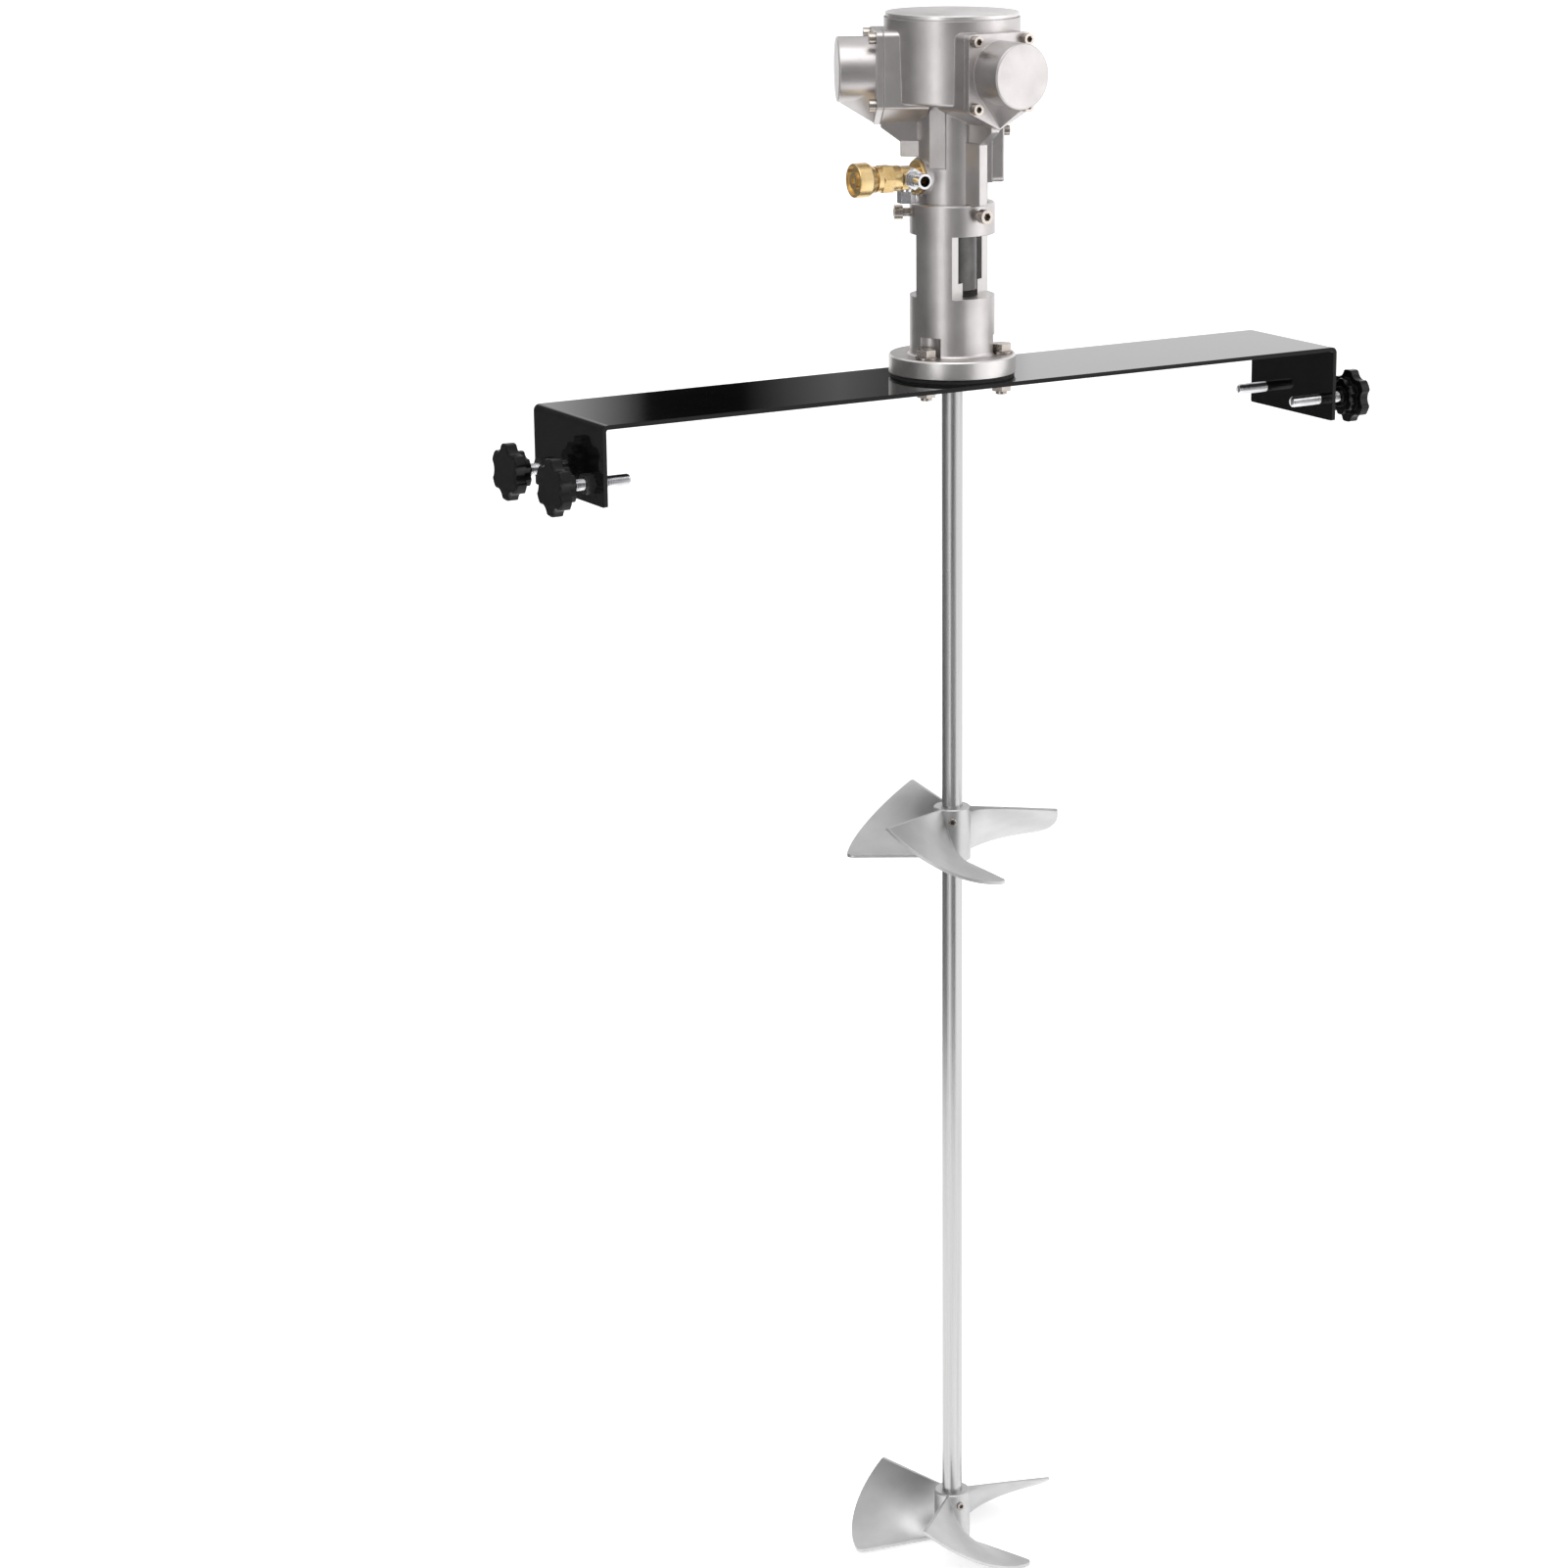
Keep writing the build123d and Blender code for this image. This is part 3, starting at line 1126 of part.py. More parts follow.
# ---- exhaust cover ------------------------------------------------------------------------------
# Thin cast cover over the exhaust port; the air leaves through slots in its lower edge.
exhaust_middle = (exhaust_top + exhaust_bottom) / 2
exhaust_screw_across = exhaust_width / 2 - 5
with BuildPart() as exhaust_cover:
    with BuildSketch(facing(exhaust_angle, exhaust_seat, exhaust_middle)):
        RectangleRounded(exhaust_width, exhaust_height, 4.5)
    extrude(amount=exhaust_reach - exhaust_seat)
    outer_face = exhaust_cover.faces().sort_by_distance(facing(exhaust_angle, 100, exhaust_middle).origin)[0]
    fillet(outer_face.edges(), 1.5)
    with BuildSketch(facing(exhaust_angle, exhaust_seat, exhaust_middle - 4)):
        RectangleRounded(exhaust_width - 2 * exhaust_wall, exhaust_height - 2 * exhaust_wall - 8, 3)
    extrude(amount=exhaust_reach - exhaust_seat - exhaust_wall, mode=Mode.SUBTRACT)
    with BuildSketch(Plane.XY.offset(exhaust_bottom - 1).rotated((0, 0, exhaust_angle))):
        with Locations((exhaust_seat + 3.2, 0)):
            with GridLocations(0, 6, 1, 4):
                Rectangle(3.5, 3)
    extrude(amount=exhaust_wall + 2, mode=Mode.SUBTRACT)
    with BuildSketch(facing(exhaust_angle, exhaust_seat, exhaust_top - 5)):
        with Locations([(side * exhaust_screw_across, 0) for side in (-1, 1)]):
            Circle(2 + fit_gap)
    extrude(amount=exhaust_reach, mode=Mode.SUBTRACT)
exhaust_cover.part.label = "exhaust_cover"
export_step(exhaust_cover.part, "parts/exhaust_cover.step")

with BuildPart() as exhaust_screws:
    for side in (-1, 1):
        screw_seat = facing(exhaust_angle, exhaust_reach, exhaust_top - 5)
        screw_seat.origin = screw_seat.from_local_coords((side * exhaust_screw_across, 0, 0))
        add(cap_screw(screw_seat, 4, exhaust_reach - exhaust_seat, 7, 4, 3))
exhaust_screws.part.label = "exhaust_screws"
export_step(exhaust_screws.part, "parts/exhaust_screws.step")
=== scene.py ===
import bpy
from math import cos, pi, radians, sin
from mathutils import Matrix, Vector


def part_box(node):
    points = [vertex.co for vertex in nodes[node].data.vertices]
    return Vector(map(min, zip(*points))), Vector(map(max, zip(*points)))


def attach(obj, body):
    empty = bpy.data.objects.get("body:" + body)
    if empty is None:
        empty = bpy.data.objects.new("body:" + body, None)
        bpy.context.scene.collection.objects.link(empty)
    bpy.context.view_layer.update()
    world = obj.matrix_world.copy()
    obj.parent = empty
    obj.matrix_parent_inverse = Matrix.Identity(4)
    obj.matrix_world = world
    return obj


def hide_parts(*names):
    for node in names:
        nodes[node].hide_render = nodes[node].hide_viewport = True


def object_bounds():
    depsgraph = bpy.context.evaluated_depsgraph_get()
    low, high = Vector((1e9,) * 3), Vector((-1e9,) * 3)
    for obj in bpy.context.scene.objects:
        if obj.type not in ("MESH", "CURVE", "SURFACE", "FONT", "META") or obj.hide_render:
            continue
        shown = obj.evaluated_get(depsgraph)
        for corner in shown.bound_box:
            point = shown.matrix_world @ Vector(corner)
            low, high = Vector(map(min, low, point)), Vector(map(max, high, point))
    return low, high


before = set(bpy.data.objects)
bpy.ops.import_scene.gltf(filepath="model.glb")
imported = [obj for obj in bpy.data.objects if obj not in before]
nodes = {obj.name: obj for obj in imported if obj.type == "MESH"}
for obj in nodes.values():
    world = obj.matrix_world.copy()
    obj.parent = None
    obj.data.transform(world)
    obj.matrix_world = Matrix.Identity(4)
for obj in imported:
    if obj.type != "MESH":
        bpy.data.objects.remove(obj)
cad_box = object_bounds()

# ---- crossbar -----------------------------------------------------------------------------------
# One strip of sheet steel, folded down at both ends so that it hangs over a drum's rim. It is
# finished in gloss black enamel, which lies a little uneven and holds fine rubbed hairlines.


def new_finish(name, colour, metal, rough):
    """A finish to build on: the material, its node tree and its shader."""
    finish = bpy.data.materials.new(name)
    finish.use_nodes = True
    shader = finish.node_tree.nodes["Principled BSDF"]
    shader.inputs["Base Color"].default_value = (*colour, 1)
    shader.inputs["Metallic"].default_value = metal
    shader.inputs["Roughness"].default_value = rough
    return finish, finish.node_tree, shader


def grain(tree, fineness, stretch=(1, 1, 1), detail=3.0, turn=(0, 0, 0)):
    """Noise that is fixed to the piece, stretched along its own directions."""
    place = tree.nodes.new("ShaderNodeTexCoord")
    lay = tree.nodes.new("ShaderNodeMapping")
    lay.inputs["Rotation"].default_value = turn
    lay.inputs["Scale"].default_value = stretch
    noise = tree.nodes.new("ShaderNodeTexNoise")
    noise.inputs["Scale"].default_value = fineness
    noise.inputs["Detail"].default_value = detail
    tree.links.new(place.outputs["Object"], lay.inputs["Vector"])
    tree.links.new(lay.outputs["Vector"], noise.inputs["Vector"])
    return noise.outputs["Fac"]


def spread(tree, value, low, high, start=0.3, end=0.7):
    """Stretches a value from start..end to low..high."""
    span = tree.nodes.new("ShaderNodeMapRange")
    span.inputs["From Min"].default_value = start
    span.inputs["From Max"].default_value = end
    span.inputs["To Min"].default_value = low
    span.inputs["To Max"].default_value = high
    tree.links.new(value, span.inputs["Value"])
    return span.outputs["Result"]


def tint(tree, value, dark, light, start=0.3, end=0.7):
    """Colour that runs from dark to light with a value."""
    mix = tree.nodes.new("ShaderNodeMix")
    mix.data_type = "RGBA"
    mix.inputs["A"].default_value = (*dark, 1)
    mix.inputs["B"].default_value = (*light, 1)
    tree.links.new(spread(tree, value, 0, 1, start, end), mix.inputs["Factor"])
    return mix.outputs["Result"]


def emboss(tree, shader, value, depth, strength=1.0, edge=0.0003):
    """Raises the surface by a value, over edges that are rounded a little."""
    bump = tree.nodes.new("ShaderNodeBump")
    bump.inputs["Distance"].default_value = depth
    bump.inputs["Strength"].default_value = strength
    rounded = tree.nodes.new("ShaderNodeBevel")
    rounded.samples = 4
    rounded.inputs["Radius"].default_value = edge
    tree.links.new(rounded.outputs["Normal"], bump.inputs["Normal"])
    tree.links.new(value, bump.inputs["Height"])
    tree.links.new(bump.outputs["Normal"], shader.inputs["Normal"])


def mottle(tree, shader, value, dark, light):
    """Varies the colour of a finish from dark to light."""
    tree.links.new(tint(tree, value, dark, light), shader.inputs["Base Color"])


def scuff(tree, shader, value, low, high):
    """Varies the roughness of a finish from low to high."""
    tree.links.new(spread(tree, value, low, high), shader.inputs["Roughness"])


def soften(mesh, crease=28):
    """Smooth curved faces, with an edge where they meet at more than the crease in degrees."""
    mesh.shade_smooth()
    mesh.set_sharp_from_angle(angle=radians(crease))


def dress(finish, *names):
    """Gives CAD nodes a finish and smooth curved faces between their real edges."""
    for name in names:
        mesh = nodes[name].data
        mesh.materials.clear()
        mesh.materials.append(finish)
        soften(mesh)


enamel, tree, shader = new_finish("black_enamel", (0.003, 0.003, 0.003), 0.0, 0.06)
shader.inputs["Specular IOR Level"].default_value = 0.22
peel = grain(tree, 260, detail=2)
hairlines = grain(tree, 60, (1, 22, 22), detail=5)
scuff(tree, shader, hairlines, 0.03, 0.08)
mottle(tree, shader, grain(tree, 9), (0.002, 0.002, 0.002), (0.005, 0.005, 0.005))
emboss(tree, shader, peel, 0.000004, edge=0.0006)
dress(enamel, "crossbar")

# ---- weld nuts ----------------------------------------------------------------------------------
# Hexagon nuts of mild steel, welded to the outside of the folded ends where the clamp screws pass
# through, and painted black together with the bar.
nut_paint, tree, shader = new_finish("painted_nut", (0.012, 0.012, 0.013), 0.0, 0.3)
scuff(tree, shader, grain(tree, 400), 0.22, 0.4)
emboss(tree, shader, grain(tree, 700), 0.00005, edge=0.0004)
dress(nut_paint, "clamp_weld_nuts")

# ---- clamp screws -------------------------------------------------------------------------------
# M8 steel screws, bright plated, that run through the weld nuts and press on the drum's wall. The
# thread is rolled along their whole length, and both ends are chamfered.
clamps = ["left_front", "left_back", "right_front", "right_back"]
plating, tree, shader = new_finish("bright_plating", (0.72, 0.72, 0.74), 1.0, 0.14)
scuff(tree, shader, grain(tree, 300), 0.1, 0.22)
mottle(tree, shader, grain(tree, 90), (0.6, 0.6, 0.62), (0.8, 0.8, 0.82))
emboss(tree, shader, grain(tree, 900), 0.00002)
screw_pitch = 0.00125
thread_depth = 0.00062
crest_share = 0.2
flank_share = 0.65
end_share = 0.7
around_screw = 20
rings_per_turn = 6
thread_crease = 60


def tube_faces(bands, around):
    """Faces of a tube made of rings of corners, closed at both ends."""
    faces = [
        (band * around + step, band * around + (step + 1) % around,
         (band + 1) * around + (step + 1) % around, (band + 1) * around + step)
        for band in range(bands) for step in range(around)
    ]
    faces.append(tuple(range(around))[::-1])
    faces.append(tuple(range(bands * around, (bands + 1) * around)))
    return faces


def new_piece(name, corners, faces, *finishes):
    """A piece of its own, made from corners and faces, with its finishes."""
    mesh = bpy.data.meshes.new(name)
    mesh.from_pydata(corners, [], faces)
    for finish in finishes:
        mesh.materials.append(finish)
    piece = bpy.data.objects.new(name, mesh)
    bpy.context.scene.collection.objects.link(piece)
    return piece


def threaded_rod(clamp):
    """A rod along X with a rolled thread, chamfered at both ends, in place of the plain CAD screw."""
    low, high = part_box(f"clamp_screw_{clamp}")
    length = high.x - low.x
    radius = (high.z - low.z) / 2
    middle_y = (low.y + high.y) / 2
    middle_z = (low.z + high.z) / 2
    rings = int(length / screw_pitch * rings_per_turn)
    corners = []
    for ring in range(rings + 1):
        along = length * ring / rings
        to_end = min(along, length - along)
        for step in range(around_screw):
            turn = step / around_screw
            wave = abs((along / screw_pitch + turn) % 1 - 0.5) * 2
            flank = min(max((wave - crest_share) / flank_share, 0), 1)
            reach = min(radius - thread_depth * flank, radius * end_share + to_end)
            across = reach * cos(2 * pi * turn)
            up = reach * sin(2 * pi * turn)
            corners.append((low.x + along, across + middle_y, up + middle_z))
    rod = new_piece(f"threaded_rod_{clamp}", corners, tube_faces(rings, around_screw), plating)
    soften(rod.data, thread_crease)
    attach(rod, f"clamp_screw_{clamp}")
    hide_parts(f"clamp_screw_{clamp}")


for clamp in clamps:
    threaded_rod(clamp)

# ---- clamp knobs --------------------------------------------------------------------------------
# Lobed hand knobs on the ends of the clamp screws, moulded in black resin. The resin is glossy,
# with a fine grain from the mould.
resin, tree, shader = new_finish("black_resin", (0.003, 0.003, 0.003), 0.0, 0.2)
shader.inputs["Specular IOR Level"].default_value = 0.22
scuff(tree, shader, grain(tree, 220, detail=4), 0.12, 0.26)
emboss(tree, shader, grain(tree, 1100, detail=2), 0.00001, edge=0.0009)
dress(resin, *(f"clamp_knob_{clamp}" for clamp in clamps))

# ---- lantern housing ----------------------------------------------------------------------------
# Cast aluminium housing between the bar and the motor, blasted to an even satin. The flange rim,
# the window edges and the collar are machined afterwards and are brighter.
lantern_low, lantern_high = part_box("lantern")


def blasted_aluminium(name, dark, light, rough=0.42):
    """Blasted cast aluminium: fine sand grain with soft clouds of lighter metal."""
    finish, tree, shader = new_finish(name, light, 1.0, rough)
    clouds = grain(tree, 45, detail=4)
    sand = grain(tree, 1500, detail=2)
    mottle(tree, shader, clouds, dark, light)
    scuff(tree, shader, sand, rough - 0.06, rough + 0.08)
    emboss(tree, shader, sand, 0.00003, edge=0.0009)
    return finish


def machine(name, finish, chosen):
    """Gives the faces of a node that were machined after casting a second finish."""
    piece = nodes[name].data
    piece.materials.append(finish)
    for face in piece.polygons:
        if chosen(face.center, face.normal):
            face.material_index = len(piece.materials) - 1


def cut_aluminium(name, colour, rough, lines):
    """Machined aluminium with fine tool lines that lie across the given direction."""
    finish, tree, shader = new_finish(name, colour, 1.0, rough)
    marks = grain(tree, 900, lines, detail=2)
    scuff(tree, shader, marks, rough - 0.05, rough + 0.07)
    darker = tuple(0.92 * part for part in colour)
    mottle(tree, shader, grain(tree, 50), darker, colour)
    emboss(tree, shader, marks, 0.00002)
    return finish


blasted = blasted_aluminium("blasted_aluminium", (0.50, 0.475, 0.47), (0.60, 0.575, 0.57), 0.36)
dress(blasted, "lantern")
lantern_radius = 0.030
window_inset = 0.0005
collar_edge = 0.001
facing_up = 0.9
flange_radius = 0.0425
flange_top = lantern_low.z + 0.0136
window_low, window_high = lantern_low.z + 0.054, lantern_low.z + 0.0995
turned_rim = cut_aluminium("turned_rim", (0.70, 0.68, 0.67), 0.32, (1, 1, 30))


def is_machined(centre, normal):
    """True on the flange's rim and upper edge, the window cuts and the collar's top."""
    away = (centre.x ** 2 + centre.y ** 2) ** 0.5
    on_rim = centre.z < flange_top and away > flange_radius
    in_window = window_low < centre.z < window_high and away < lantern_radius - window_inset
    on_collar = centre.z > lantern_high.z - collar_edge
    cut_side = abs(normal.z) < facing_up or normal.z > facing_up
    return on_rim or on_collar or (in_window and cut_side)


machine("lantern", turned_rim, is_machined)

# ---- motor castings -----------------------------------------------------------------------------
# Crankcase with its three cylinder pods, the cylinder heads and the exhaust cover, in the same
# blasted aluminium as the lantern.
dress(blasted, "crankcase", "cylinder_head_1", "cylinder_head_2", "cylinder_head_3", "exhaust_cover")

# ---- motor cover --------------------------------------------------------------------------------
# Turned aluminium disc that closes the crank chamber, seated in the crankcase over a rubber ring.
# The lathe leaves fine rings on its face.
turned, tree, shader = new_finish("turned_aluminium", (0.72, 0.70, 0.695), 1.0, 0.36)
place = tree.nodes.new("ShaderNodeTexCoord")
rings = tree.nodes.new("ShaderNodeTexWave")
rings.wave_type = "RINGS"
rings.rings_direction = "Z"
rings.inputs["Scale"].default_value = 900
rings.inputs["Distortion"].default_value = 0.6
tree.links.new(place.outputs["Object"], rings.inputs["Vector"])
scuff(tree, shader, grain(tree, 60), 0.3, 0.42)
mottle(tree, shader, grain(tree, 40), (0.68, 0.66, 0.655), (0.76, 0.74, 0.735))
emboss(tree, shader, rings.outputs["Fac"], 0.000015)
dress(turned, "case_cover")

# ---- gaskets and seals --------------------------------------------------------------------------
# Black rubber under the lantern, round both shafts and under the motor's cover, and grey fibre
# under the cylinder heads. Each is held by the pieces that it seals.
rubber, tree, shader = new_finish("black_rubber", (0.015, 0.015, 0.016), 0.0, 0.75)
scuff(tree, shader, grain(tree, 500), 0.65, 0.85)
emboss(tree, shader, grain(tree, 900), 0.00005)
dress(rubber, "base_gasket", "shaft_seal", "crank_seal", "cover_seal")
fibre, tree, shader = new_finish("gasket_fibre", (0.22, 0.21, 0.19), 0.0, 0.9)
mottle(tree, shader, grain(tree, 800), (0.16, 0.15, 0.14), (0.28, 0.27, 0.25))
emboss(tree, shader, grain(tree, 1200), 0.00005)
dress(fibre, "head_gaskets")

# ---- bolts, nuts and screws ---------------------------------------------------------------------
# The fasteners that hold the castings together, of zinc-plated steel with a faint warm cast. Their
# hexagon sockets and the creases round them are darkened with painted shade.
zinc, tree, shader = new_finish("zinc_plated_steel", (0.60, 0.57, 0.53), 1.0, 0.26)
# Painted shade: an ambient occlusion node blends the colour toward near-black in sockets, creases and
# other hollows within 3 mm.
painted_crease_shade = tree.nodes.new("ShaderNodeAmbientOcclusion")
painted_crease_shade.samples = 8
painted_crease_shade.inputs["Distance"].default_value = 0.003
shade = tree.nodes.new("ShaderNodeMix")
shade.data_type = "RGBA"
shade.inputs["A"].default_value = (0.05, 0.04, 0.035, 1)
tree.links.new(painted_crease_shade.outputs["AO"], shade.inputs["Factor"])
tree.links.new(tint(tree, grain(tree, 90), (0.44, 0.395, 0.36), (0.56, 0.51, 0.47)), shade.inputs["B"])
tree.links.new(shade.outputs["Result"], shader.inputs["Base Color"])
scuff(tree, shader, grain(tree, 700), 0.22, 0.3)
emboss(tree, shader, grain(tree, 1500), 0.000008)
dress(zinc, "base_bolts", "base_washers", "base_nuts", "collar_screws", "head_screws", "exhaust_screws",
      "coupling_screws", "impeller_screws", "retaining_ring")

# ---- bearings and inner works -------------------------------------------------------------------
# Hardened and ground steel: ball bearings, crankshaft, rods and liners, with light oil on them.
# The pistons are aluminium, and the sleeve of the rotary valve is bronze.
ground, tree, shader = new_finish("ground_steel", (0.62, 0.62, 0.63), 1.0, 0.18)
scuff(tree, shader, grain(tree, 400, (1, 1, 8)), 0.12, 0.26)
mottle(tree, shader, grain(tree, 120), (0.52, 0.52, 0.53), (0.66, 0.66, 0.67))
emboss(tree, shader, grain(tree, 1500), 0.00001)
dress(ground, "shaft_bearing_outer_rings", "shaft_bearing_inner_rings", "crank_bearing_outer_rings",
      "crank_bearing_inner_rings", "bearing_balls", "bearing_spacer", "crank_ring", "gudgeon_pins",
      "cylinder_liners", "crankshaft", "connecting_rod_1", "connecting_rod_2", "connecting_rod_3",
      "piston_rings", "rotary_valve")
piston_metal = blasted_aluminium("piston_aluminium", (0.60, 0.60, 0.61), (0.74, 0.74, 0.75), 0.3)
dress(piston_metal, "piston_1", "piston_2", "piston_3")
bronze, tree, shader = new_finish("bearing_bronze", (0.50, 0.30, 0.14), 1.0, 0.34)
mottle(tree, shader, grain(tree, 200), (0.42, 0.25, 0.11), (0.58, 0.36, 0.18))
emboss(tree, shader, grain(tree, 900), 0.00003)
dress(bronze, "valve_sleeve")

# ---- drive coupling -----------------------------------------------------------------------------
# Turned steel sleeve, dark with oil, that joins the motor's shaft to the agitator shaft. Set screws
# hold it on both.
oiled, tree, shader = new_finish("oiled_steel", (0.10, 0.098, 0.095), 1.0, 0.34)
mottle(tree, shader, grain(tree, 60), (0.075, 0.074, 0.072), (0.13, 0.127, 0.124))
scuff(tree, shader, grain(tree, 300, (1, 1, 12)), 0.26, 0.42)
emboss(tree, shader, grain(tree, 400, (1, 1, 25)), 0.00003)
dress(oiled, "drive_coupling")

# ---- agitator shaft -----------------------------------------------------------------------------
# Long stainless steel rod, ground to size and rubbed down along its length, which leaves fine
# lines that run along it.
stainless, tree, shader = new_finish("ground_stainless", (0.56, 0.56, 0.56), 1.0, 0.26)
along = grain(tree, 500, (1, 1, 0.01), detail=3)
mottle(tree, shader, along, (0.44, 0.44, 0.44), (0.54, 0.54, 0.54))
scuff(tree, shader, along, 0.2, 0.34)
shader.inputs["Anisotropic"].default_value = 0.4
emboss(tree, shader, along, 0.00001)
dress(stainless, "agitator_shaft")

# ---- impellers ----------------------------------------------------------------------------------
# Cast stainless hubs with three curved blades each, blasted to a fine grey satin. Each slides on
# the shaft and is held there by set screws.
cast_stainless, tree, shader = new_finish("cast_stainless", (0.56, 0.56, 0.56), 1.0, 0.4)
pits = grain(tree, 1300, detail=3)
mottle(tree, shader, grain(tree, 35, detail=4), (0.50, 0.50, 0.50), (0.60, 0.60, 0.60))
scuff(tree, shader, pits, 0.34, 0.48)
emboss(tree, shader, pits, 0.00005, edge=0.0006)
dress(cast_stainless, "upper_impeller", "lower_impeller")

# ---- second hub screws --------------------------------------------------------------------------
# Each hub is also held by a short M6 set screw of zinc-plated steel with a hexagon socket, whose
# inside is darkened with painted shade. Its end stands a little proud of the hub.
hub_radius = 0.0135
screw_below_top = 0.009
screw_radius = 0.003
screw_sunk = 0.001
screw_proud = 0.0013
screw_edge = 0.0003
socket_half = 0.0015
socket_deep = 0.0011
around_socket = 24
outer_bands = 3


def hub_screw(hub, heading):
    """A set screw that points into the hub, with a real socket in its end."""
    hub_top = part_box(hub)[1].z
    outward = Vector((cos(radians(heading)), sin(radians(heading)), 0))
    sideways = Vector((-outward.y, outward.x, 0))
    rings = (
        (screw_radius, -screw_sunk), (screw_radius, screw_proud - screw_edge),
        (screw_radius - screw_edge, screw_proud), (None, screw_proud), (None, screw_proud - socket_deep),
    )
    corners = []
    for reach, stand in rings:
        for step in range(around_socket):
            turn = 2 * pi * step / around_socket
            flat = socket_half / cos((turn % (pi / 3)) - pi / 6)
            spot = outward * (hub_radius + stand) + Vector((0, 0, hub_top - screw_below_top))
            corners.append(spot + (sideways * cos(turn) + Vector((0, 0, 1)) * sin(turn)) * (reach or flat))
    bands = len(rings) - 1
    screw = new_piece(f"{hub}_set_screw", corners, tube_faces(bands, around_socket), zinc, oiled)
    # Painted shade: the socket's walls and floor take the dark oiled-steel finish, though the screw is
    # zinc-plated steel throughout.
    for face in list(screw.data.polygons)[outer_bands * around_socket:]:
        face.material_index = 1
    screw.data.polygons[bands * around_socket].material_index = 0
    soften(screw.data)
    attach(screw, "rotor")


hub_screw("upper_impeller", -122)
hub_screw("lower_impeller", -95)

# ---- air valve ----------------------------------------------------------------------------------
# Turned brass throttle valve, with a grooved hand knob on its needle. The plugs screwed into its
# body are bright plated steel.
brass, tree, shader = new_finish("turned_brass", (0.78, 0.57, 0.28), 1.0, 0.3)
mottle(tree, shader, grain(tree, 60), (0.70, 0.49, 0.21), (0.82, 0.62, 0.33))
scuff(tree, shader, grain(tree, 500), 0.26, 0.36)
emboss(tree, shader, grain(tree, 900), 0.00001)
dress(brass, "valve_body", "valve_needle", "valve_knob")
dress(plating, "air_plug", "blind_plug")

# ---- floor --------------------------------------------------------------------------------------
# A plain pale floor just under the end of the shaft. It looks white to the camera and in bright
# metal, and keeps the object's shadow.
foot = cad_box[0].z
floor_gap = 0.001
floor_half = 60.0
floor_glow = 0.48
floor_corners = [
    (-floor_half, -floor_half, 0), (floor_half, -floor_half, 0),
    (floor_half, floor_half, 0), (-floor_half, floor_half, 0),
]
floor = new_piece("floor", floor_corners, [(0, 1, 2, 3)])
floor.location.z = foot - floor_gap
pale, tree, shader = new_finish("pale_floor", (0.85, 0.85, 0.85), 0.0, 0.9)
mottle(tree, shader, grain(tree, 3), (0.84, 0.84, 0.84), (0.86, 0.86, 0.86))
path = tree.nodes.new("ShaderNodeLightPath")
seen = path.outputs["Is Camera Ray"]
for ray in ("Is Glossy Ray", "Is Transmission Ray"):
    either = tree.nodes.new("ShaderNodeMath")
    either.operation = "MAXIMUM"
    tree.links.new(seen, either.inputs[0])
    tree.links.new(path.outputs[ray], either.inputs[1])
    seen = either.outputs[0]
glow = tree.nodes.new("ShaderNodeMath")
glow.operation = "MULTIPLY"
glow.inputs[1].default_value = floor_glow
tree.links.new(seen, glow.inputs[0])
shader.inputs["Emission Color"].default_value = (1, 1, 1, 1)
tree.links.new(glow.outputs[0], shader.inputs["Emission Strength"])
floor.data.materials.append(pale)

# ---- studio walls -------------------------------------------------------------------------------
# The pale room round the object, whose walls are lighter and darker by turns so that the enamel and
# the metal have something to show. Its ceiling is even.
scene = bpy.context.scene
world = bpy.data.worlds.new("studio")
scene.world = world
world.use_nodes = True
tree = world.node_tree
background = tree.nodes["Background"]
direction = tree.nodes.new("ShaderNodeTexCoord")
around = tree.nodes.new("ShaderNodeTexGradient")
around.gradient_type = "RADIAL"
tree.links.new(direction.outputs["Generated"], around.inputs["Vector"])
walls = tree.nodes.new("ShaderNodeValToRGB")
walls.color_ramp.interpolation = "LINEAR"
tree.links.new(around.outputs["Fac"], walls.inputs["Fac"])
wall_ends = 0.45
# heading in degrees, and how bright the studio is that way as a share of its brightest part
wall_tones = (
    (-125, 0.45), (-60, 0.65), (45, 0.85), (50, 1.0), (56.6, 1.0), (57.3, 0.02), (58, 0.05),
    (59.5, 0.22), (59.9, 0.002), (61.9, 0.002), (62.3, 0.40), (64, 0.75), (75, 0.8), (121, 0.5),
)
for heading, bright in wall_tones:
    stop = walls.color_ramp.elements.new(0.5 + heading / 360)
    stop.color = (bright, bright, bright, 1)
for end in (0, -1):
    walls.color_ramp.elements[end].color = (wall_ends, wall_ends, wall_ends, 1)
split = tree.nodes.new("ShaderNodeSeparateXYZ")
tree.links.new(direction.outputs["Generated"], split.inputs[0])
ceiling = tree.nodes.new("ShaderNodeMix")
ceiling.data_type = "RGBA"
ceiling.inputs["B"].default_value = (0.66, 0.66, 0.66, 1)
tree.links.new(walls.outputs["Color"], ceiling.inputs["A"])
tree.links.new(spread(tree, split.outputs["Z"], 0, 1, 0.35, 0.75), ceiling.inputs["Factor"])
tree.links.new(ceiling.outputs["Result"], background.inputs["Color"])
background.inputs["Strength"].default_value = 1.4


# ---- grey screens -------------------------------------------------------------------------------
# Grey cloth screens that stand in arcs round the object and give its metal darker sides. The camera
# doesn't see them, and they cast no shadow.
screen_distance = 1.1
screen_top = 0.7
screen_steps = 12


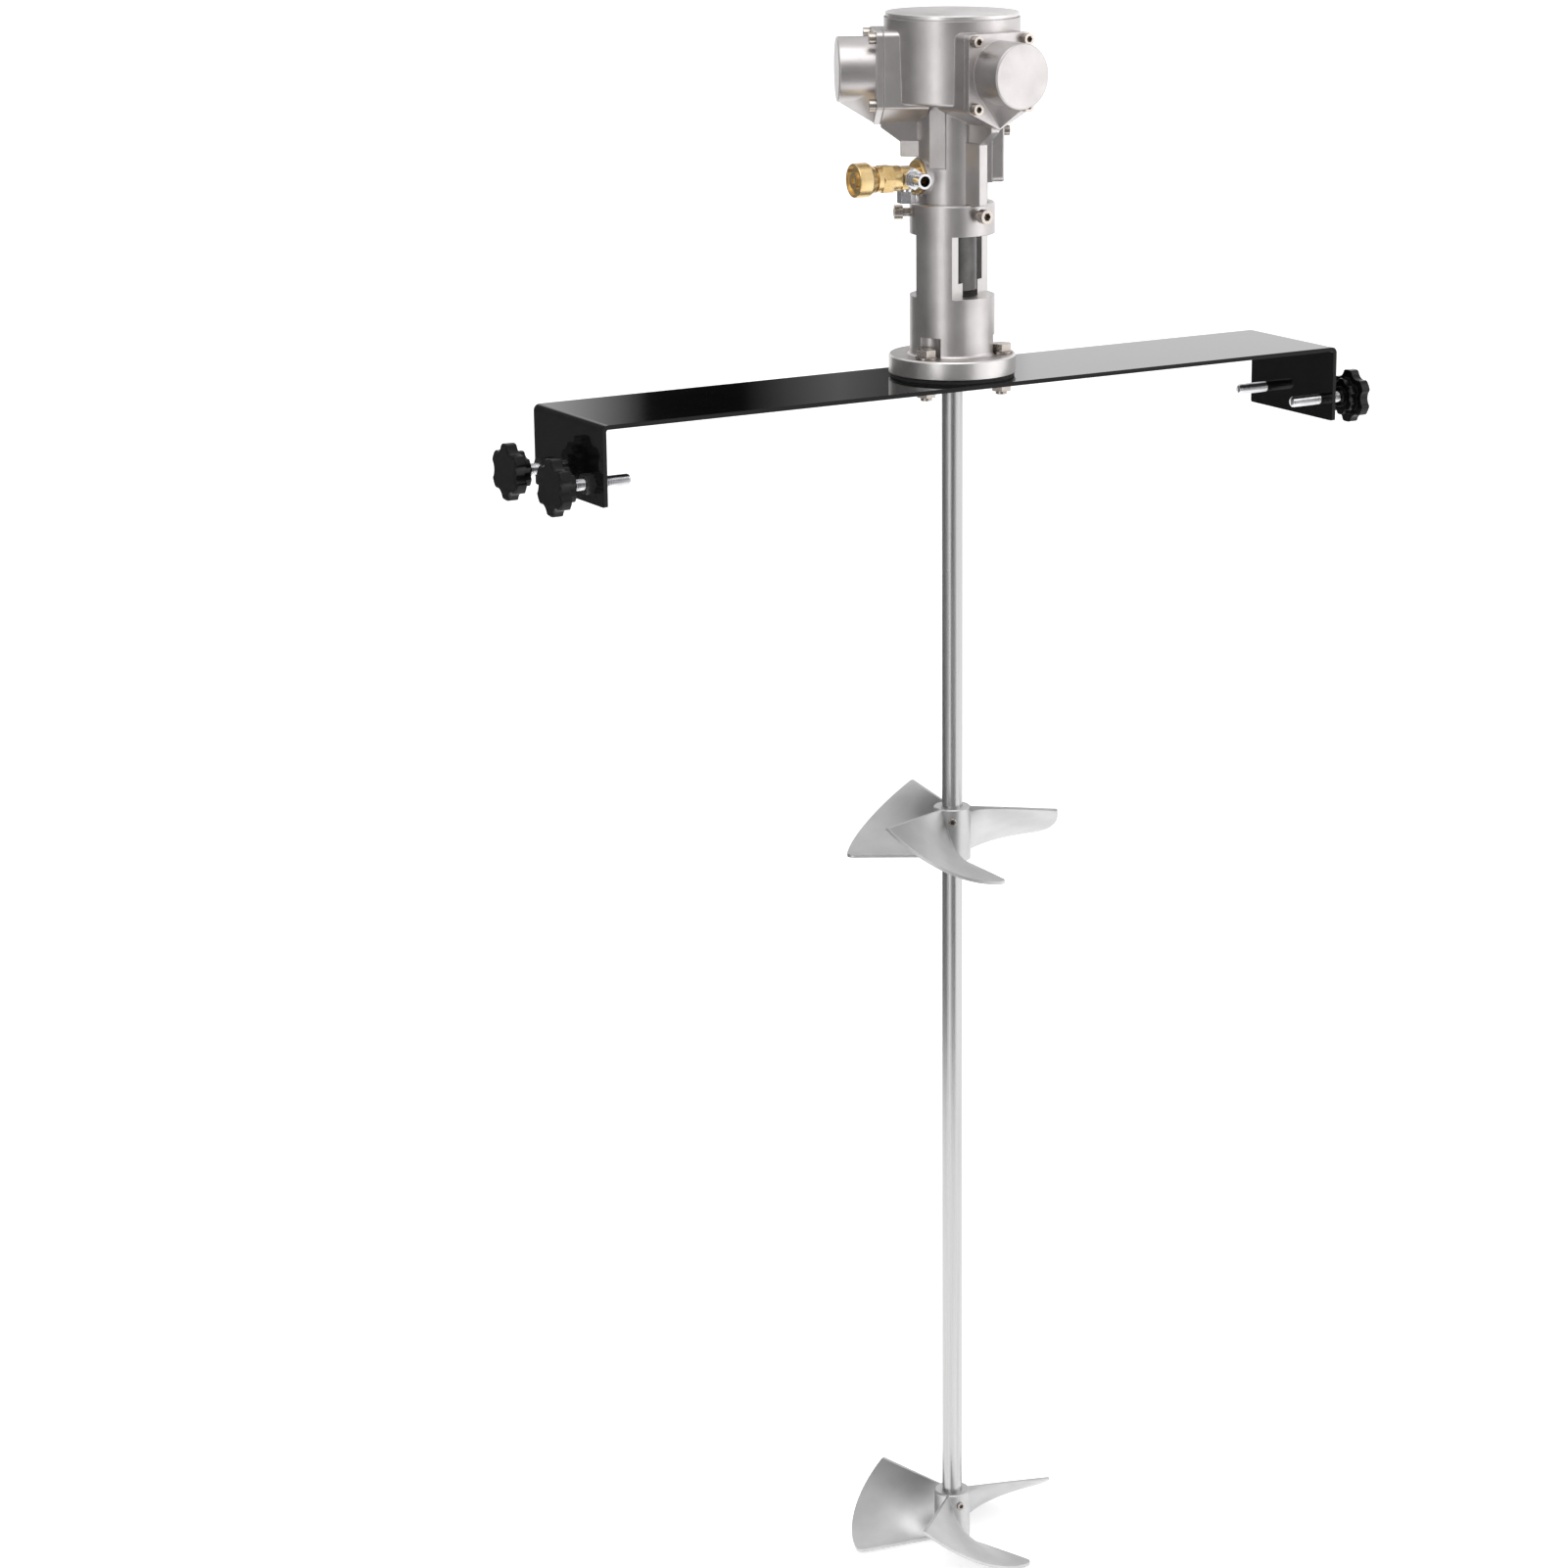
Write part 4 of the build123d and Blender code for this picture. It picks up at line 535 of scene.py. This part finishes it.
def screen(name, start, end, grey):
    """A screen from one heading to another, in degrees."""
    corners = []
    for step in range(screen_steps + 1):
        heading = radians(start + (end - start) * step / screen_steps)
        x, y = screen_distance * cos(heading), screen_distance * sin(heading)
        corners += [(x, y, foot), (x, y, screen_top)]
    faces = [(2 * step, 2 * step + 1, 2 * step + 3, 2 * step + 2) for step in range(screen_steps)]
    cloth = new_finish(f"{name}_cloth", (grey, grey, grey), 0.0, 0.9)[0]
    stand = new_piece(name, corners, faces, cloth)
    stand.visible_camera = False
    stand.visible_diffuse = False
    stand.visible_shadow = False


screen("screen_by_camera", -139, -84, 0.28)
screen("screen_at_left", 176, 202, 0.6)
screen("screen_behind_left", 96, 176, 0.18)

# ---- lamps --------------------------------------------------------------------------------------
# Three soft rectangular panels of light, at the left, overhead and at the right.


def panel(name, place, aim, width, height, power):
    """A soft rectangular panel of light that the camera doesn't see."""
    lamp = bpy.data.lights.new(name, "AREA")
    lamp.shape = "RECTANGLE"
    lamp.size = width
    lamp.size_y = height
    lamp.energy = power
    fitting = bpy.data.objects.new(name, lamp)
    fitting.location = place
    fitting.rotation_mode = "QUATERNION"
    fitting.rotation_quaternion = (Vector(aim) - Vector(place)).to_track_quat("-Z", "Y")
    fitting.visible_camera = False
    scene.collection.objects.link(fitting)


panel("left_panel", (-2.0, -0.95, 0.5), (0, 0, 0), 0.7, 2.0, 6)
panel("overhead_panel", (-0.6, -1.2, 2.5), (0, 0, 0), 2.4, 2.4, 28)
panel("right_panel", (1.9, -1.7, 0.7), (0, 0, 0), 1.3, 2.0, 9)

# ---- camera -------------------------------------------------------------------------------------
# A long lens a little above the crossbar, looking down on it from the front left.
camera_data = bpy.data.cameras.new("camera")
camera = bpy.data.objects.new("camera", camera_data)
scene.collection.objects.link(camera)
scene.camera = camera
camera_data.sensor_width = 36.0
camera_data.lens = 90.4
camera_data.shift_x = -0.1074
camera.location = (-1.489, -2.3286, 0.4635)
turn = radians(-32.6)
pitch = radians(15.4)
ahead = Vector((-sin(turn) * cos(pitch), cos(turn) * cos(pitch), -sin(pitch)))
camera.rotation_mode = "QUATERNION"
camera.rotation_quaternion = ahead.to_track_quat("-Z", "Y")
camera_data.clip_start = 0.05
camera_data.clip_end = 200.0
scene.view_settings.view_transform = "Standard"
